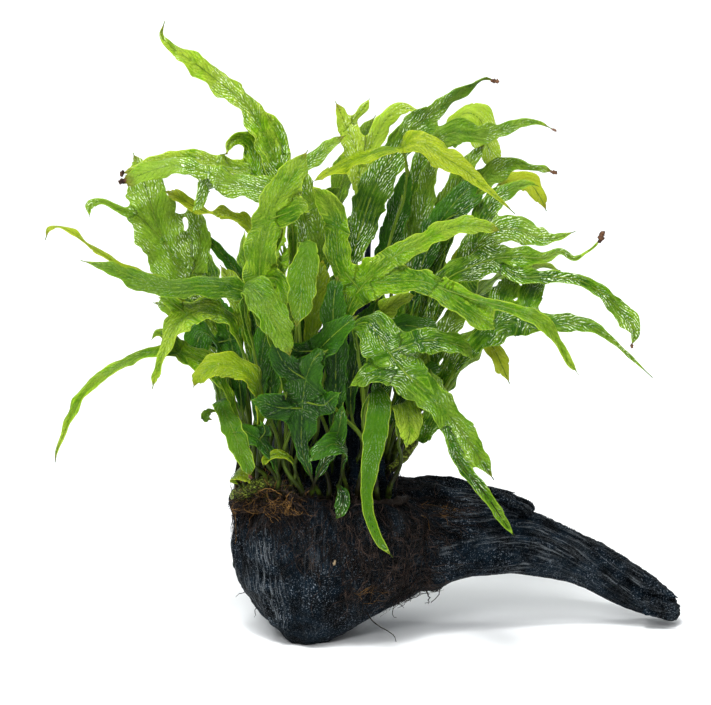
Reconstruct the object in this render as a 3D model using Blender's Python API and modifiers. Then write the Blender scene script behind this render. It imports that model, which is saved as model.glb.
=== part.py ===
"""Java fern on driftwood: a creeping fern whose lobed fronds rise from rhizomes rooted to a dark stump.

Frame: metres, +Z up, the origin in the middle of the stump's foot, +X along the branch, +Y away from the
viewer.
Every length below is in millimetres until metres() turns it into the scene's unit.
"""

import math

import bmesh
import bpy
from mathutils import Matrix, Vector

MM = 0.001
GAP = 0.4  # left between neighbouring pieces

# The fronds are laid out as a viewer in front sees them: x to the right and z up from the foot's front edge,
# on the upright plane through the origin that faces the viewer, and y the true depth. seen() carries such a
# point out to its depth.
VIEW_TILT = math.radians(10.0)
VIEW_DISTANCE = 900.0
VIEW_CENTRE = (18.0, 117.0)
FRONT_EDGE = -5.2  # where the foot's front edge shows on that plane

# Driftwood
FOOT_HALF_WIDTH, FOOT_HALF_DEPTH = 11.0, 18.0
STUMP_TOP = 56.5
STUMP_SIDES, BRANCH_SIDES, LEDGE_SIDES, UPRIGHT_SIDES = 26, 18, 12, 14
FLUTE_WANDER = 14.0  # the height over which a flute's phase moves on by one radian
LEAN_BY_DEPTH, LEAN_BY_RISE = 0.12, 0.25  # how a branch's sections lean back from upright

# Flutes in the weathered wood: how many go round, how far they stand out as a share of the radius, where
# they start and how they wander along the grain
FLUTES = [(3, 0.045, 1.3, 0.9), (5, 0.035, -0.7, -1.4), (8, 0.028, 2.1, 0.8), (11, 0.020, 0.0, 3.1)]

# Each stump level: height, centre x, centre y, half width, half depth
STUMP_LEVELS = [
    (0.0, 0.0, 0.0, FOOT_HALF_WIDTH, FOOT_HALF_DEPTH),
    (2.5, 1.0, 0.5, 14.5, 21.0),
    (7.0, 3.0, 1.5, 19.5, 25.5),
    (12.0, 6.0, 2.5, 25.5, 29.5),
    (17.0, 9.0, 3.5, 31.5, 33.0),
    (23.0, 11.0, 4.5, 36.5, 36.5),
    (30.0, 11.0, 5.0, 40.0, 39.0),
    (38.0, 10.5, 5.5, 41.5, 41.0),
    (45.5, 10.0, 6.0, 41.5, 42.0),
    (51.5, 9.0, 6.0, 41.0, 41.5),
    (54.8, 8.5, 6.0, 39.0, 39.5),
    (STUMP_TOP, 8.0, 6.0, 35.5, 36.0),
]

# Each branch section, as seen: x, lower edge z, upper edge z, then the depth y and the half depth
BRANCH_SECTIONS = [
    (30.0, 27.0, 59.0, 5.0, 22.0),
    (38.0, 23.5, 60.5, 5.0, 24.5),
    (45.0, 23.5, 61.5, 5.0, 25.0),
    (52.0, 26.0, 61.5, 5.5, 24.0),
    (60.0, 27.5, 60.5, 6.0, 22.0),
    (68.0, 28.0, 59.0, 6.5, 20.0),
    (76.0, 28.0, 57.0, 7.5, 18.0),
    (84.0, 27.5, 54.8, 8.0, 16.5),
    (92.0, 27.0, 52.0, 8.5, 15.5),
    (100.0, 25.5, 48.5, 9.5, 14.5),
    (108.0, 22.5, 45.0, 10.0, 13.5),
    (116.0, 18.5, 41.2, 10.5, 12.5),
    (123.0, 15.5, 37.8, 11.0, 12.0),
    (129.0, 13.5, 34.2, 11.5, 11.0),
    (134.5, 11.5, 30.5, 12.0, 10.5),
    (139.0, 9.0, 27.0, 12.5, 9.5),
    (143.0, 8.6, 22.5, 12.5, 7.5),
    (145.6, 11.5, 18.5, 12.5, 4.5),
]

# The splintered upper layer that lies on the branch, in the same terms
LEDGE_SECTIONS = [
    (30.0, 50.0, 64.5, 6.0, 19.0),
    (38.0, 52.0, 66.2, 6.5, 20.0),
    (46.0, 52.5, 66.6, 7.0, 19.5),
    (54.0, 52.5, 65.9, 7.5, 18.5),
    (62.0, 52.5, 65.0, 8.0, 16.5),
    (69.0, 52.0, 63.2, 8.5, 14.5),
    (76.0, 51.5, 61.6, 9.0, 12.0),
    (81.5, 51.5, 59.9, 9.0, 9.0),
    (85.0, 52.0, 57.9, 9.0, 6.0),
    (88.6, 54.6, 56.4, 9.0, 2.0),
]

# Each upright level: height, centre x, centre y, half width, half depth
UPRIGHT_LEVELS = [
    (STUMP_TOP + GAP, 2.5, 21.0, 22.0, 12.0),
    (65.0, 2.5, 20.5, 21.0, 11.5),
    (77.0, 3.5, 20.0, 20.0, 11.5),
    (90.0, 5.5, 19.5, 18.0, 11.0),
    (102.0, 9.0, 19.0, 15.0, 10.5),
    (114.0, 12.5, 18.5, 11.5, 8.5),
    (125.0, 16.5, 18.0, 8.5, 7.0),
    (135.0, 20.5, 17.0, 5.5, 5.0),
    (143.0, 23.0, 16.5, 3.0, 3.0),
    (153.0, 25.0, 16.0, 1.7, 1.6),
    (162.0, 27.5, 16.0, 0.7, 0.7),
]

# Rhizomes: the middle line of each one, creeping over the stump's top, as (x, y, height above that top)
RHIZOME_RADIUS = 3.2
RHIZOME_TIP_SHARE = 0.6
RHIZOMES = {
    "rhizome_front": [(-29, -13, 1.0), (-27, -19, 2.0), (-20, -25, 2.5), (-8, -27, 2.0), (8, -27, 2.5),
                      (22, -25, 2.5), (32, -21, 2.0), (38, -14, 2.5)],
    "rhizome_middle": [(-27, -4, 1.5), (-22, -8, 2.5), (-10, -9, 2.0), (4, -8, 2.5), (16, -7.5, 2.5),
                       (26, -6, 4), (32, -5.5, 9), (39, -7, 14.5), (44, -8, 19), (48, -8.5, 23.5)],
    "rhizome_back": [(-25, 2, 2.0), (-27, 10, 2.5), (-26.5, 19, 2.0), (-22.5, 30, 2.5), (-12, 38, 2.0),
                     (2, 40, 2.5), (14, 39, 2.5), (24, 35, 3), (31, 27, 5), (34, 16, 8.5), (35, 6, 10)],
}

# Roots: mats that hug the wood below the rhizomes. Each has whether it runs on over the branch, and the
# shapes that bound it, each an outline in x and z with the y it reaches from and to.
ROOT_MAT_THICKNESS = 1.6
ROOT_MATS = {
    "roots_right": (True, [
        ([(-2, 54.5), (4, 45), (9, 50), (12, 38), (18, 30), (21, 20), (30, 23), (36, 15), (45, 22), (50, 27),
          (49, 37), (52, 45), (48, 54.5)], -60, 4),
    ]),
    "roots_left": (False, [
        ([(-60, 54.5), (-60, 47), (-26, 46), (-20, 50), (-14, 46.5), (-9, 51), (-5, 54.5)], -60, 20),
        ([(-60, 54.5), (-60, 44), (-20, 40), (-12, 46), (-4, 38), (6, 44), (13, 35), (22, 42), (28, 54.5)],
         10, 70),
    ]),
}
ROOT_RADIUS = 0.5
# The one long root that hangs free, as seen: x, z, y
HANGING_ROOT = [(22.5, 13, -26), (24.5, 10, -26), (27.5, 7.5, -25), (31, 5.5, -22), (33.5, 3.5, -20),
                (34.2, 1.4, -18)]

# Fronds
STALK_THICKNESS = 2.0
BLADE_THICKNESS = 0.8
STALK_HALF_WIDTH = 1.1
STALK_LIMIT, STALK_KNOTS = 1.3, 3.5  # a rib is stalk while narrower than this and this many points up
FOOT_CLEARANCE = 1.1  # between a rhizome and a stalk's foot
LONG_SPAN = 13.0  # a longer stretch between two points of a rib gets another section
SECTION_APART, BREAK_APART = 0.18, 0.1  # the least between sections, and between lobes' edges, in knots
LOBE_MARGIN = 0.2  # between a lobe's first section and its parent's margin
FIRST_GAP, LAST_GAP = 0.3, 0.15  # a lobe's base keeps this far from its parent's ends, in knots
PER_KNOT = 8  # a rib's upper side is found this many times between two points
EASE_LENGTH = 30.0  # over which a blade turns its upper side towards its face direction
TURN_SHARE = 0.8  # of a turn's radius that a blade may take up on the inside
FACE_VIEWER = (0.0, -0.8, 0.6)
FACE_AWAY = (0.0, 0.6, 0.8)

GREENS = {
    "fresh": (0.30, 0.52, 0.06),
    "mid": (0.16, 0.38, 0.05),
    "dark": (0.07, 0.24, 0.05),
    "yellow": (0.50, 0.60, 0.10),
}

# Each frond: the (x, y) of its foot on a rhizome, its colour, and the points of its main rib as seen, each
# (x, z, y, half width of the blade there). A lobe is (where it leaves its parent rib, in points from its
# start; its own points; and, for a lobe of a lobe, the number of its parent lobe). face is the way the upper
# side looks, and roll how far, in degrees, the blade turns about its rib by the tip.
FRONDS = {
    "tall_left": {
        "foot": (-11, -9), "colour": "fresh", "roll": 25,
        "rib": [(-10, 100, -13, 1.1), (-8, 140, -17, 1.1), (-6, 165, -20, 2), (-8, 183, -22, 5),
                (-13, 199, -23, 5.4), (-19, 208, -24, 4.6), (-25.5, 215.5, -25, 3.8), (-36, 224, -26, 4.6),
                (-48, 233, -27, 4), (-56, 239, -28, 2), (-59.5, 244, -28, 0.9), (-58, 249.5, -28, 0)],
        "lobes": [(4.4, [(-9, 203, -18, 2.6), (-13, 209, -17, 3), (-18, 214, -17, 0)]),
                  (4, [(-15, 191, -18, 3.4), (-19, 199, -16, 2.6), (-21, 204, -15, 0)])],
    },
    "left_arch": {
        "foot": (-5.6, -27.1), "colour": "mid", "roll": 0,
        "rib": [(-8, 82, -29, 1.1), (-6, 130, -34, 1.1), (-3, 158, -36, 1.8), (-5, 173, -37, 3.5),
                (-13, 180, -38, 5), (-22, 183, -40, 5.6), (-33, 185.5, -43, 5.4), (-44, 190, -46, 3.4),
                (-55, 193, -48, 3.8), (-66, 190, -50, 3.6), (-74, 186.5, -52, 1), (-76, 186, -52, 0)],
        "lobes": [(7.7, [(-43, 181, -45, 2.2), (-44.5, 177, -46, 2), (-47.5, 172.5, -47, 0)])],
    },
    "left_arch_upper": {
        "foot": (-18.8, -8.5), "colour": "fresh", "roll": -20,
        "rib": [(-18, 110, -13, 1.1), (-16, 150, -17, 1.1), (-15, 170, -20, 1.8), (-19, 181, -22, 3),
                (-24, 188, -23, 3), (-34, 193, -25, 2.8), (-44.5, 196, -27, 2.8), (-53, 196.5, -29, 2.6),
                (-62, 194.5, -31, 2), (-71, 191, -32, 0)],
        "lobes": [(5, [(-22.5, 195, -21, 3.6), (-24.5, 201, -22, 3.4), (-29, 203, -25, 2.6),
                       (-32.5, 200, -27, 1.8), (-33.5, 196.5, -28, 0)])],
    },
    "beaded_left": {
        "foot": (-22.5, -7.8), "colour": "yellow", "roll": 0,
        "rib": [(-25, 105, -9, 1.1), (-24, 145, -10, 1.1), (-22, 162, -11, 1.6), (-27, 170, -12, 3),
                (-30.5, 171.5, -13, 1.8), (-35, 173, -14, 2.8), (-40, 173, -15, 0.6),
                (-44.5, 174.5, -16, 2.2), (-49, 177, -17, 2.6), (-54, 180, -18, 2.4), (-59, 182, -18, 0)],
        "lobes": [],
    },
    "left_fan": {
        "foot": (-25.3, 3.5), "colour": "mid", "roll": 0,
        "rib": [(-29, 95, 0, 1.2), (-36, 122, -4, 1.4), (-42, 138, -8, 3.5), (-50, 151, -12, 7),
                (-57, 166, -15, 8), (-63, 181, -17, 6.5), (-65, 189, -18, 3), (-66, 194, -18, 0)],
        "lobes": [(3.6, [(-43, 158, -9, 5.2), (-44, 166, -8, 5.2), (-46, 173, -9, 3.5),
                         (-48, 177, -10, 0)]),
                  (4.6, [(-69, 171.5, -18, 2.6), (-77, 174.5, -20, 1.4), (-83.5, 177.5, -21, 1.1),
                         (-88, 176, -22, 1.8), (-88.5, 171, -23, 0)])],
    },
    "far_left_thread": {
        "foot": (-26.8, 9), "colour": "yellow", "roll": 60,
        "rib": [(-33, 100, 7, 1.1), (-46, 128, 2, 2.4), (-60, 144, -3, 3), (-70, 149, -6, 2.4),
                (-77, 152.5, -8, 1.1), (-84, 157, -10, 1.6), (-90, 161, -11, 0.9), (-95, 165, -12, 2),
                (-101, 167.5, -13, 0.9), (-104, 167, -14, 1.6), (-106.5, 162, -15, 0)],
        "lobes": [],
    },
    "left_strap": {
        "foot": (-9.3, -27), "colour": "mid", "roll": 0,
        "rib": [(-12, 80, -30, 1.1), (-11.5, 115, -36, 1.2), (-14, 130, -40, 2), (-20, 138, -43, 4),
                (-30, 143, -47, 4.4), (-44, 144.5, -52, 3.8), (-58, 144, -56, 3.6), (-68, 147, -58, 4.2),
                (-78, 151, -60, 2.8), (-92, 154.5, -60, 0)],
        "lobes": [],
    },
    "low_left_tail": {
        "foot": (-22.9, -22.9), "colour": "fresh", "roll": 40,
        "rib": [(-28, 84, -27, 1.1), (-33, 101, -33, 2), (-40, 112, -38, 4.8), (-49, 116, -41, 5),
                (-57, 118, -43, 2.4), (-66, 116.5, -45, 2.2), (-79, 110.5, -48, 2.3), (-89, 103, -50, 2.4),
                (-96, 92, -51, 2.5), (-99, 84, -52, 1.1), (-101.5, 78, -52, 1.4), (-102.5, 73, -52, 0)],
        "lobes": [(4.4, [(-56, 123, -38, 2.8), (-61, 125, -37, 2.2), (-64, 122, -37, 0)])],
    },
    "low_left_lobed": {
        "foot": (-19.8, -25), "colour": "fresh", "roll": 20,
        "rib": [(-22.5, 84, -31, 1.1), (-28, 120, -39, 1.3), (-34, 132, -44, 3.5), (-44, 134, -47, 5.5),
                (-52, 130, -49, 5), (-57, 122, -51, 3), (-60, 114, -52, 1.6), (-62, 108, -52, 1.8),
                (-63.5, 102.5, -53, 0)],
        "lobes": [(4.6, [(-54, 136, -46, 2.6), (-58, 138.5, -45, 2.2), (-61, 139, -45, 0)])],
    },
    "left_blunt": {
        "foot": (-16.4, -26), "colour": "yellow", "roll": 0,
        "rib": [(-20, 78, -35, 1.1), (-20, 95, -43, 2), (-23, 107, -49, 4.5), (-31, 112, -52, 5),
                (-39, 111.5, -54, 4.5), (-45, 107, -55, 3), (-47, 103, -55, 0)],
        "lobes": [],
    },
    "left_hanging": {
        "foot": (-26.8, -4.3), "colour": "fresh", "roll": 0,
        "rib": [(-32.5, 80, -12, 1.1), (-36, 91, -20, 1.6), (-38, 97.5, -30, 2.4), (-36.5, 94.5, -39, 3.4),
                (-32, 86, -45, 3.8), (-28, 77, -47, 3.8), (-25, 71, -48, 2.4), (-24, 67, -48, 0)],
        "lobes": [],
    },
    "young_leaf": {
        "foot": (-25.6, -20.2), "colour": "yellow", "roll": 0,
        "rib": [(-29.5, 66.5, -26, 1.2), (-32.5, 70.5, -31, 2.6), (-29, 71, -36, 3.2), (-25, 66, -38, 0)],
        "lobes": [],
    },
    "centre_bright": {
        "foot": (-1.4, -27.2), "colour": "fresh", "roll": 15,
        "rib": [(-7, 90, -36, 1.1), (-14, 120, -46, 2), (-20, 140, -51, 5.5), (-20, 156, -54, 6),
                (-17, 170, -55, 5.5), (-11, 182, -56, 6), (-6, 190, -57, 4.5), (-1, 198, -57, 0)],
        "lobes": [(5, [(-9, 173, -59, 4), (-4, 175, -61, 3.5), (0, 173, -62, 0)]),
                  (3.4, [(-13, 146, -56, 3.6), (-11, 140, -58, 3), (-9.5, 135, -58, 0)])],
    },
    "nodding_centre": {
        "foot": (18.4, -25.7), "colour": "fresh", "roll": 0,
        "rib": [(17, 78, -31.5, 1.1), (10, 91, -38.5, 1.1), (1, 104, -43, 1.1), (-4, 128, -46, 1.2),
                (-5, 150, -50, 2), (-3, 162, -55, 4), (-2, 160, -61, 5.2), (-3, 148, -65, 5.4),
                (-4, 137, -66, 4.6), (-6, 126, -66, 0)],
        "lobes": [],
    },
    "olive_hanging": {
        "foot": (-13, -26.6), "colour": "mid", "roll": 0,
        "rib": [(-16.5, 80, -32.5, 1.1), (-23, 118, -44, 1.3), (-27, 134, -55, 2.5), (-25, 144, -62, 5),
                (-19, 139, -66, 6), (-14, 129, -68, 5.6), (-10, 121, -69, 3.5), (-8, 115, -69, 0)],
        "lobes": [],
    },
    "low_fan": {
        "foot": (4.2, -27.1), "colour": "dark", "roll": 0,
        "rib": [(0, 68, -35, 1.3), (-3.5, 79, -40, 2.5), (-3.5, 90, -44, 6), (-3, 99, -47, 8),
                (-1, 109, -50, 6), (3, 116, -53, 2.5), (7, 118, -54, 0)],
        "lobes": [(3.5, [(-13, 95, -51, 5.5), (-19, 97, -55, 4), (-24, 98, -57, 0)]),
                  (3.8, [(5.5, 96, -50, 4), (9, 99, -53, 2.8), (12, 101, -54, 0)]),
                  (4.7, [(-9, 111, -53, 4.5), (-13, 117, -56, 3.5), (-15, 123, -57, 0)])],
    },
    "dark_strap": {
        "foot": (7.8, -27), "colour": "dark", "roll": 0,
        "rib": [(9, 85, -33, 1.2), (10, 103, -39, 4), (10, 120, -42, 4.6), (9, 134, -43, 4.6),
                (10, 143, -44, 3.2), (11, 148, -44, 0)],
        "lobes": [],
    },
    "low_dark": {
        "foot": (15.2, -26.2), "colour": "dark", "roll": 0,
        "rib": [(13, 71, -35, 1.3), (14.5, 78, -41, 3.8), (9, 80.5, -45, 4.8), (3, 77, -48, 3),
                (-1, 73, -49, 0)],
        "lobes": [],
    },
    "centre_fan": {
        "foot": (11.2, -26.7), "colour": "fresh", "roll": 0,
        "rib": [(13.5, 82, -28.5, 1.1), (13, 118, -33, 1.2), (15, 134, -36, 3), (20, 143, -39, 7),
                (27, 150, -42, 6), (35, 156.5, -44, 4), (44, 161, -46, 3.6), (53, 166, -47, 3.6),
                (62, 168, -48, 3.6), (72, 167, -47, 2), (76, 166, -47, 0)],
        "lobes": [(4.2, [(33, 145.5, -45, 5), (44, 146, -49, 4.4), (58, 142, -52, 4), (69, 138.5, -54, 3.6),
                         (79, 136.5, -56, 4), (89, 132.5, -58, 4), (96, 127, -59, 3.4),
                         (99.5, 121, -59, 1.4), (103, 114, -60, 1.6), (107.5, 108, -60, 0)]),
                  (3.9, [(12, 152, -37, 4.5), (10.5, 161, -37, 4.8), (10, 170, -39, 4.6), (6, 178, -41, 4),
                         (0, 184, -44, 0)]),
                  (2.6, [(65, 133, -54, 4.4), (70, 129.5, -54, 4.2), (74, 126, -54, 0)], 0)],
    },
    "tall_right": {
        "foot": (4, -8), "colour": "mid", "roll": 110,
        "rib": [(6, 100, -13, 1.1), (9, 130, -18, 1.2), (15, 150, -21, 3), (20, 166, -23, 5.5),
                (25, 181, -24, 6.4), (32, 194, -25, 5.5), (38, 203, -25, 5.5), (45, 211, -24, 6),
                (52, 217, -23, 3), (58, 222.5, -22, 2.8), (64, 226, -21, 2.4), (70, 228, -20, 1.6),
                (74, 227, -20, 0)],
        "lobes": [],
    },
    "pale_fork": {
        "foot": (10, -7.7), "colour": "fresh", "roll": 0,
        "rib": [(12, 100, -9, 1.1), (15, 135, -9, 1.1), (18, 162, -10, 1.4), (20, 180, -12, 2.4),
                (19.5, 190, -13, 4.8), (18, 199, -14, 5), (14.5, 207, -15, 3.6), (12, 213, -16, 2),
                (10, 217.5, -16, 0)],
        "lobes": [(5, [(26, 203, -11, 3.6), (30, 210, -10, 3.2), (36, 214.5, -9, 2.6), (44, 214, -8, 0)]),
                  (7, [(18, 211, -14, 1.3), (21.5, 215, -13, 1.6), (24, 219, -13, 0)])],
    },
    "yellow_strap": {
        "foot": (15, -7.5), "colour": "yellow", "roll": 0,
        "rib": [(19, 100, -9, 1.1), (27, 140, -12, 1.1), (33, 165, -18, 1.1), (37, 180, -25, 1.4),
                (38, 192, -33, 3), (37, 199.5, -39, 4.4), (44, 201, -43, 4.8), (53, 195.5, -45, 4.8),
                (62, 190, -45, 3.6), (70, 183, -45, 1.6), (76, 178, -45, 0.8), (82, 172.5, -44, 0)],
        "lobes": [(6, [(29, 198.5, -40, 4), (21, 195.5, -38, 4.8), (12, 192, -34, 4.2), (5, 188, -31, 2.4),
                       (1, 185.5, -30, 0)])],
    },
    "right_pointed": {
        "foot": (22.8, -6.6), "colour": "mid", "roll": 30,
        "rib": [(29, 100, -4, 1.1), (34, 140, -3, 1.1), (38, 170, -3, 1.3), (42, 188, -3, 3),
                (48, 200, -4, 5), (57, 205, -5, 5.4), (68, 204.5, -6, 4), (78, 206.5, -8, 2.6),
                (85, 209, -9, 1.8), (91, 209, -10, 0.8), (97.5, 206, -10, 0)],
        "lobes": [],
    },
    "right_loop": {
        "foot": (31.6, 25.5), "colour": "fresh", "roll": 0,
        "rib": [(36, 100, 28, 1.1), (41, 140, 27, 1.1), (46, 175, 23, 1.6), (52, 198, 17, 2.2),
                (57, 209, 14, 2.6), (63, 213, 12, 4), (68, 210, 11, 6), (70, 203, 10, 6), (72, 196, 9, 4),
                (74, 190, 9, 2), (74.5, 187, 9, 0)],
        "lobes": [],
    },
    "right_curled": {
        "foot": (35, 7.3), "colour": "mid", "roll": 50,
        "rib": [(40, 100, 8, 1.1), (47, 130, 6, 1.1), (54, 158, 5, 1.4), (60, 174, 4, 3), (67, 184, 3, 4.4),
                (75, 190, 2, 4.4), (82, 192.5, 1, 2.6), (88, 191, 0, 1.2), (93, 190.5, 0, 1.4),
                (97.5, 189, 0, 0)],
        "lobes": [],
    },
    "right_bright": {
        "foot": (28.5, 30.5), "colour": "yellow", "roll": 0,
        "rib": [(36, 100, 35, 1.1), (48, 135, 33, 1.1), (61, 160, 28, 1.4), (73, 176, 22, 3),
                (80, 185, 18, 4.4), (87, 185, 16, 4.2), (92, 179, 14, 2.6), (94.5, 173.5, 13, 0)],
        "lobes": [],
    },
    "right_dark": {
        "foot": (30.8, -5.5), "colour": "dark", "roll": 0,
        "rib": [(35, 95, -8, 1.1), (40, 130, -10, 1.2), (44, 150, -11, 3), (49, 165, -12, 5),
                (56, 175, -12, 5.2), (63, 182.5, -12, 3.4), (70, 187.5, -12, 0)],
        "lobes": [(3.3, [(54, 170, -15, 3), (61, 174, -17, 2.6), (66, 178, -18, 1.8), (70, 181, -18, 0)])],
    },
    "right_silver": {
        "foot": (41.3, -7.4), "colour": "mid", "roll": 0,
        "rib": [(44, 95, -15, 1.1), (47, 118, -19, 1.1), (49, 136, -22, 1.8), (54, 146, -25, 4.5),
                (63, 151, -27, 6), (73, 154.5, -29, 5.6), (83, 155.5, -30, 4.2), (93, 155, -31, 2.6),
                (101, 157, -31, 1.4), (106, 154.5, -31, 1), (113, 160, -31, 0.8), (117, 164, -31, 1.6),
                (119, 167, -31, 0)],
        "lobes": [(6, [(84, 148, -32, 3), (95, 148, -34, 2.6), (108, 147, -36, 2.2), (118, 141.5, -37, 2.8),
                       (124, 135.5, -38, 3), (129, 130.5, -39, 3), (131, 125, -40, 1.8),
                       (128.5, 119.5, -40, 0)])],
    },
    "right_lobed": {
        "foot": (46, -8.2), "colour": "mid", "roll": 0,
        "rib": [(50, 94, -20, 1.1), (55, 105, -25, 1.1), (60, 113, -28, 1.6), (65, 119, -30, 4),
                (73, 127, -32, 7), (82, 130, -34, 6.5), (92, 130.5, -36, 4.5), (103, 131, -38, 3.6),
                (112, 129.5, -39, 3), (119, 124.5, -40, 1.2), (127, 117, -41, 0.8), (137, 108, -41, 0)],
        "lobes": [(5, [(76.5, 139, -27, 4.4), (79, 144, -23, 4.2), (80, 148, -20, 0)]),
                  (6.3, [(88, 140, -29, 4.2), (90.5, 145, -24, 3.8), (91, 148.5, -21, 0)]),
                  (4.7, [(76, 116, -25, 3.2), (78.5, 112, -23, 2.8), (80, 107, -22, 0)])],
    },
    "drooping_right": {
        "foot": (26, -23.8), "colour": "mid", "roll": 0,
        "rib": [(23, 92, -30, 1.1), (19, 116, -37, 1.2), (18, 128, -42, 2.6), (23, 129, -47, 6.5),
                (30, 119, -51, 8.5), (38, 109, -54, 7.5), (47, 98, -57, 6), (57, 86, -59, 5),
                (66, 74, -60, 3.6), (72, 66, -60, 0)],
        "lobes": [(6, [(27, 109, -54, 4.2), (21, 107, -53, 3.4), (15, 103, -52, 0)]),
                  (7.4, [(57, 73, -61, 2.2), (69, 60, -63, 2.2), (76.5, 50, -64, 1.7), (82, 43, -64, 0)]),
                  (5.2, [(46, 122, -49, 5), (56, 121, -46, 4.4), (63, 118, -44, 2.6), (65, 113, -43, 0)])],
    },
    "hanging_strap": {
        "foot": (21.9, -25), "colour": "fresh", "roll": 0,
        "rib": [(20, 84, -32, 1.1), (22, 97, -38, 1.6), (26, 102, -43, 3), (27.5, 96, -48, 4.4),
                (26, 85, -51, 4.6), (24, 72, -53, 3.4), (22.5, 60, -54, 2.2), (24, 50, -55, 2),
                (28, 41, -56, 1.6), (33, 35, -56, 0)],
        "lobes": [],
    },
    "low_right_curl": {
        "foot": (31, -21.5), "colour": "fresh", "roll": 0,
        "rib": [(35, 80, -28, 1.2), (36, 94, -36, 2), (37, 97, -42, 4), (39, 92, -46, 5.4),
                (39.5, 84, -48, 3.4), (38, 78, -48, 0)],
        "lobes": [],
    },
    "right_wide": {
        "foot": (36, -6.2), "colour": "mid", "roll": 0,
        "rib": [(41, 100, -9, 1.1), (48, 126, -12, 1.2), (55, 142, -15, 2.6), (61, 152, -18, 4.6),
                (68, 161, -20, 6), (75, 166, -22, 5.6), (84, 166, -24, 5), (92, 163, -26, 3.6),
                (98, 163, -27, 1.8), (106, 165.6, -27, 0)],
        "lobes": [(4.6, [(70, 173, -17, 4.4), (76, 180, -16, 4), (84, 184, -15, 2), (89, 184.5, -15, 0.8),
                         (91.5, 183.5, -15, 0)])],
    },
    "shade_left": {
        "foot": (-27.6, -15.6), "colour": "dark", "roll": 0,
        "rib": [(-30, 88, -17.5, 1.1), (-33, 110, -19, 2), (-38, 122, -21, 4.4), (-43, 125, -25, 5.5),
                (-46, 118, -28, 5), (-45, 110, -29, 0)],
        "lobes": [],
    },
    "inner_yellow": {
        "foot": (-1, -8.4), "colour": "yellow", "roll": 0,
        "rib": [(1, 95, -14, 1.1), (0, 120, -20, 2.2), (2, 137, -24, 4.5), (4, 148, -26, 3.4),
                (5, 155, -26, 0)],
        "lobes": [],
    },
    "dark_right": {
        "foot": (26.8, -5.9), "colour": "dark", "roll": 0,
        "rib": [(27, 90, -14, 1.1), (27, 112, -22, 1.2), (30, 124, -30, 3), (38, 128, -35, 5),
                (46, 126, -38, 4.6), (52, 122, -39, 0)],
        "lobes": [],
    },
    "yellow_oval": {
        "foot": (34.5, 12), "colour": "yellow", "roll": 0,
        "rib": [(40, 100, 13, 1.1), (46, 128, 13, 1.1), (50, 142, 12, 2.8), (52, 150, 12, 3.4),
                (53, 157, 12, 0)],
        "lobes": [],
    },
    "thin_top": {
        "foot": (-6.5, -8.9), "colour": "mid", "roll": 0,
        "rib": [(-4, 100, -10, 1.1), (-6, 140, -12, 1.1), (-7, 175, -16, 2), (-4, 190, -18, 3),
                (3, 198, -19, 2.6), (10, 203, -20, 1.6), (14, 205, -20, 0)],
        "lobes": [],
    },
    "inner_right": {
        "foot": (33.9, 16.5), "colour": "mid", "roll": 0,
        "rib": [(34, 96, 20, 1.1), (33, 118, 20, 1.6), (36, 128, 19, 3.6), (43, 137, 19, 4),
                (50, 144, 19, 2.4), (54, 147, 19, 0)],
        "lobes": [],
    },
    "pale_inner": {
        "foot": (19, -7.2), "colour": "fresh", "roll": 0,
        "rib": [(21, 95, -12, 1.1), (20, 115, -18, 1.4), (24, 128, -23, 3.4), (31, 135, -26, 4.2),
                (38, 139, -28, 2.5), (42, 140, -28, 0)],
        "lobes": [],
    },
    "rolled_left": {
        "foot": (-26.8, 15.5), "colour": "dark", "roll": 0,
        "rib": [(-27, 100, 12, 1.1), (-24, 130, 6, 1.4), (-28, 147, 2, 2.4), (-35, 156, -1, 2.2),
                (-41, 162, -3, 1.8), (-44.5, 165, -4, 0)],
        "lobes": [],
    },
    "back_left": {
        "foot": (-25, 23), "colour": "mid", "roll": 0, "face": FACE_AWAY,
        "rib": [(-28, 95, 36, 1.1), (-38, 120, 46, 2), (-50, 138, 54, 6), (-58, 152, 60, 6.5),
                (-61, 166, 64, 5), (-60, 178, 66, 0)],
        "lobes": [(3, [(-40, 146, 60, 4.2), (-42, 154, 66, 3), (-44, 160, 70, 0)])],
    },
    "back_low_left": {
        "foot": (-21, 31.5), "colour": "mid", "roll": 0, "face": FACE_AWAY,
        "rib": [(-22, 80, 40, 1.1), (-32, 98, 60, 3.6), (-38, 108, 76, 6), (-40, 110, 90, 5),
                (-39, 106, 100, 0)],
        "lobes": [],
    },
    "back_mid_left": {
        "foot": (-13, 37.3), "colour": "fresh", "roll": 0, "face": FACE_AWAY,
        "rib": [(-12, 95, 48, 1.1), (-14, 125, 58, 3), (-16, 145, 66, 7), (-16, 163, 74, 6.5),
                (-13, 178, 80, 4), (-10, 188, 84, 0)],
        "lobes": [(3, [(-25, 152, 72, 4), (-27, 159, 78, 3), (-26, 166, 82, 0)]),
                  (3.3, [(-6, 158, 76, 4), (0, 168, 82, 3.4), (3, 176, 86, 0)])],
    },
    "back_tall": {
        "foot": (-5, 39.3), "colour": "mid", "roll": 0, "face": FACE_AWAY,
        "rib": [(-2, 100, 50, 1.1), (2, 140, 58, 1.2), (8, 170, 62, 3), (14, 190, 66, 6), (20, 203, 68, 5),
                (26, 212, 69, 0)],
        "lobes": [],
    },
    "back_mid": {
        "foot": (4, 40), "colour": "mid", "roll": 0, "face": FACE_AWAY,
        "rib": [(6, 95, 52, 1.1), (9, 125, 64, 3), (12, 145, 74, 6.5), (14, 160, 84, 6), (12, 172, 92, 3.5),
                (9, 180, 97, 0)],
        "lobes": [(3, [(21, 138, 74, 4), (27, 139, 82, 3.4), (33, 137, 88, 0)])],
    },
    "back_low_mid": {
        "foot": (11.5, 39.4), "colour": "dark", "roll": 0, "face": FACE_AWAY,
        "rib": [(11, 80, 50, 1.1), (5, 97, 72, 4.6), (0, 104, 88, 6.5), (-3, 103, 100, 4),
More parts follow.
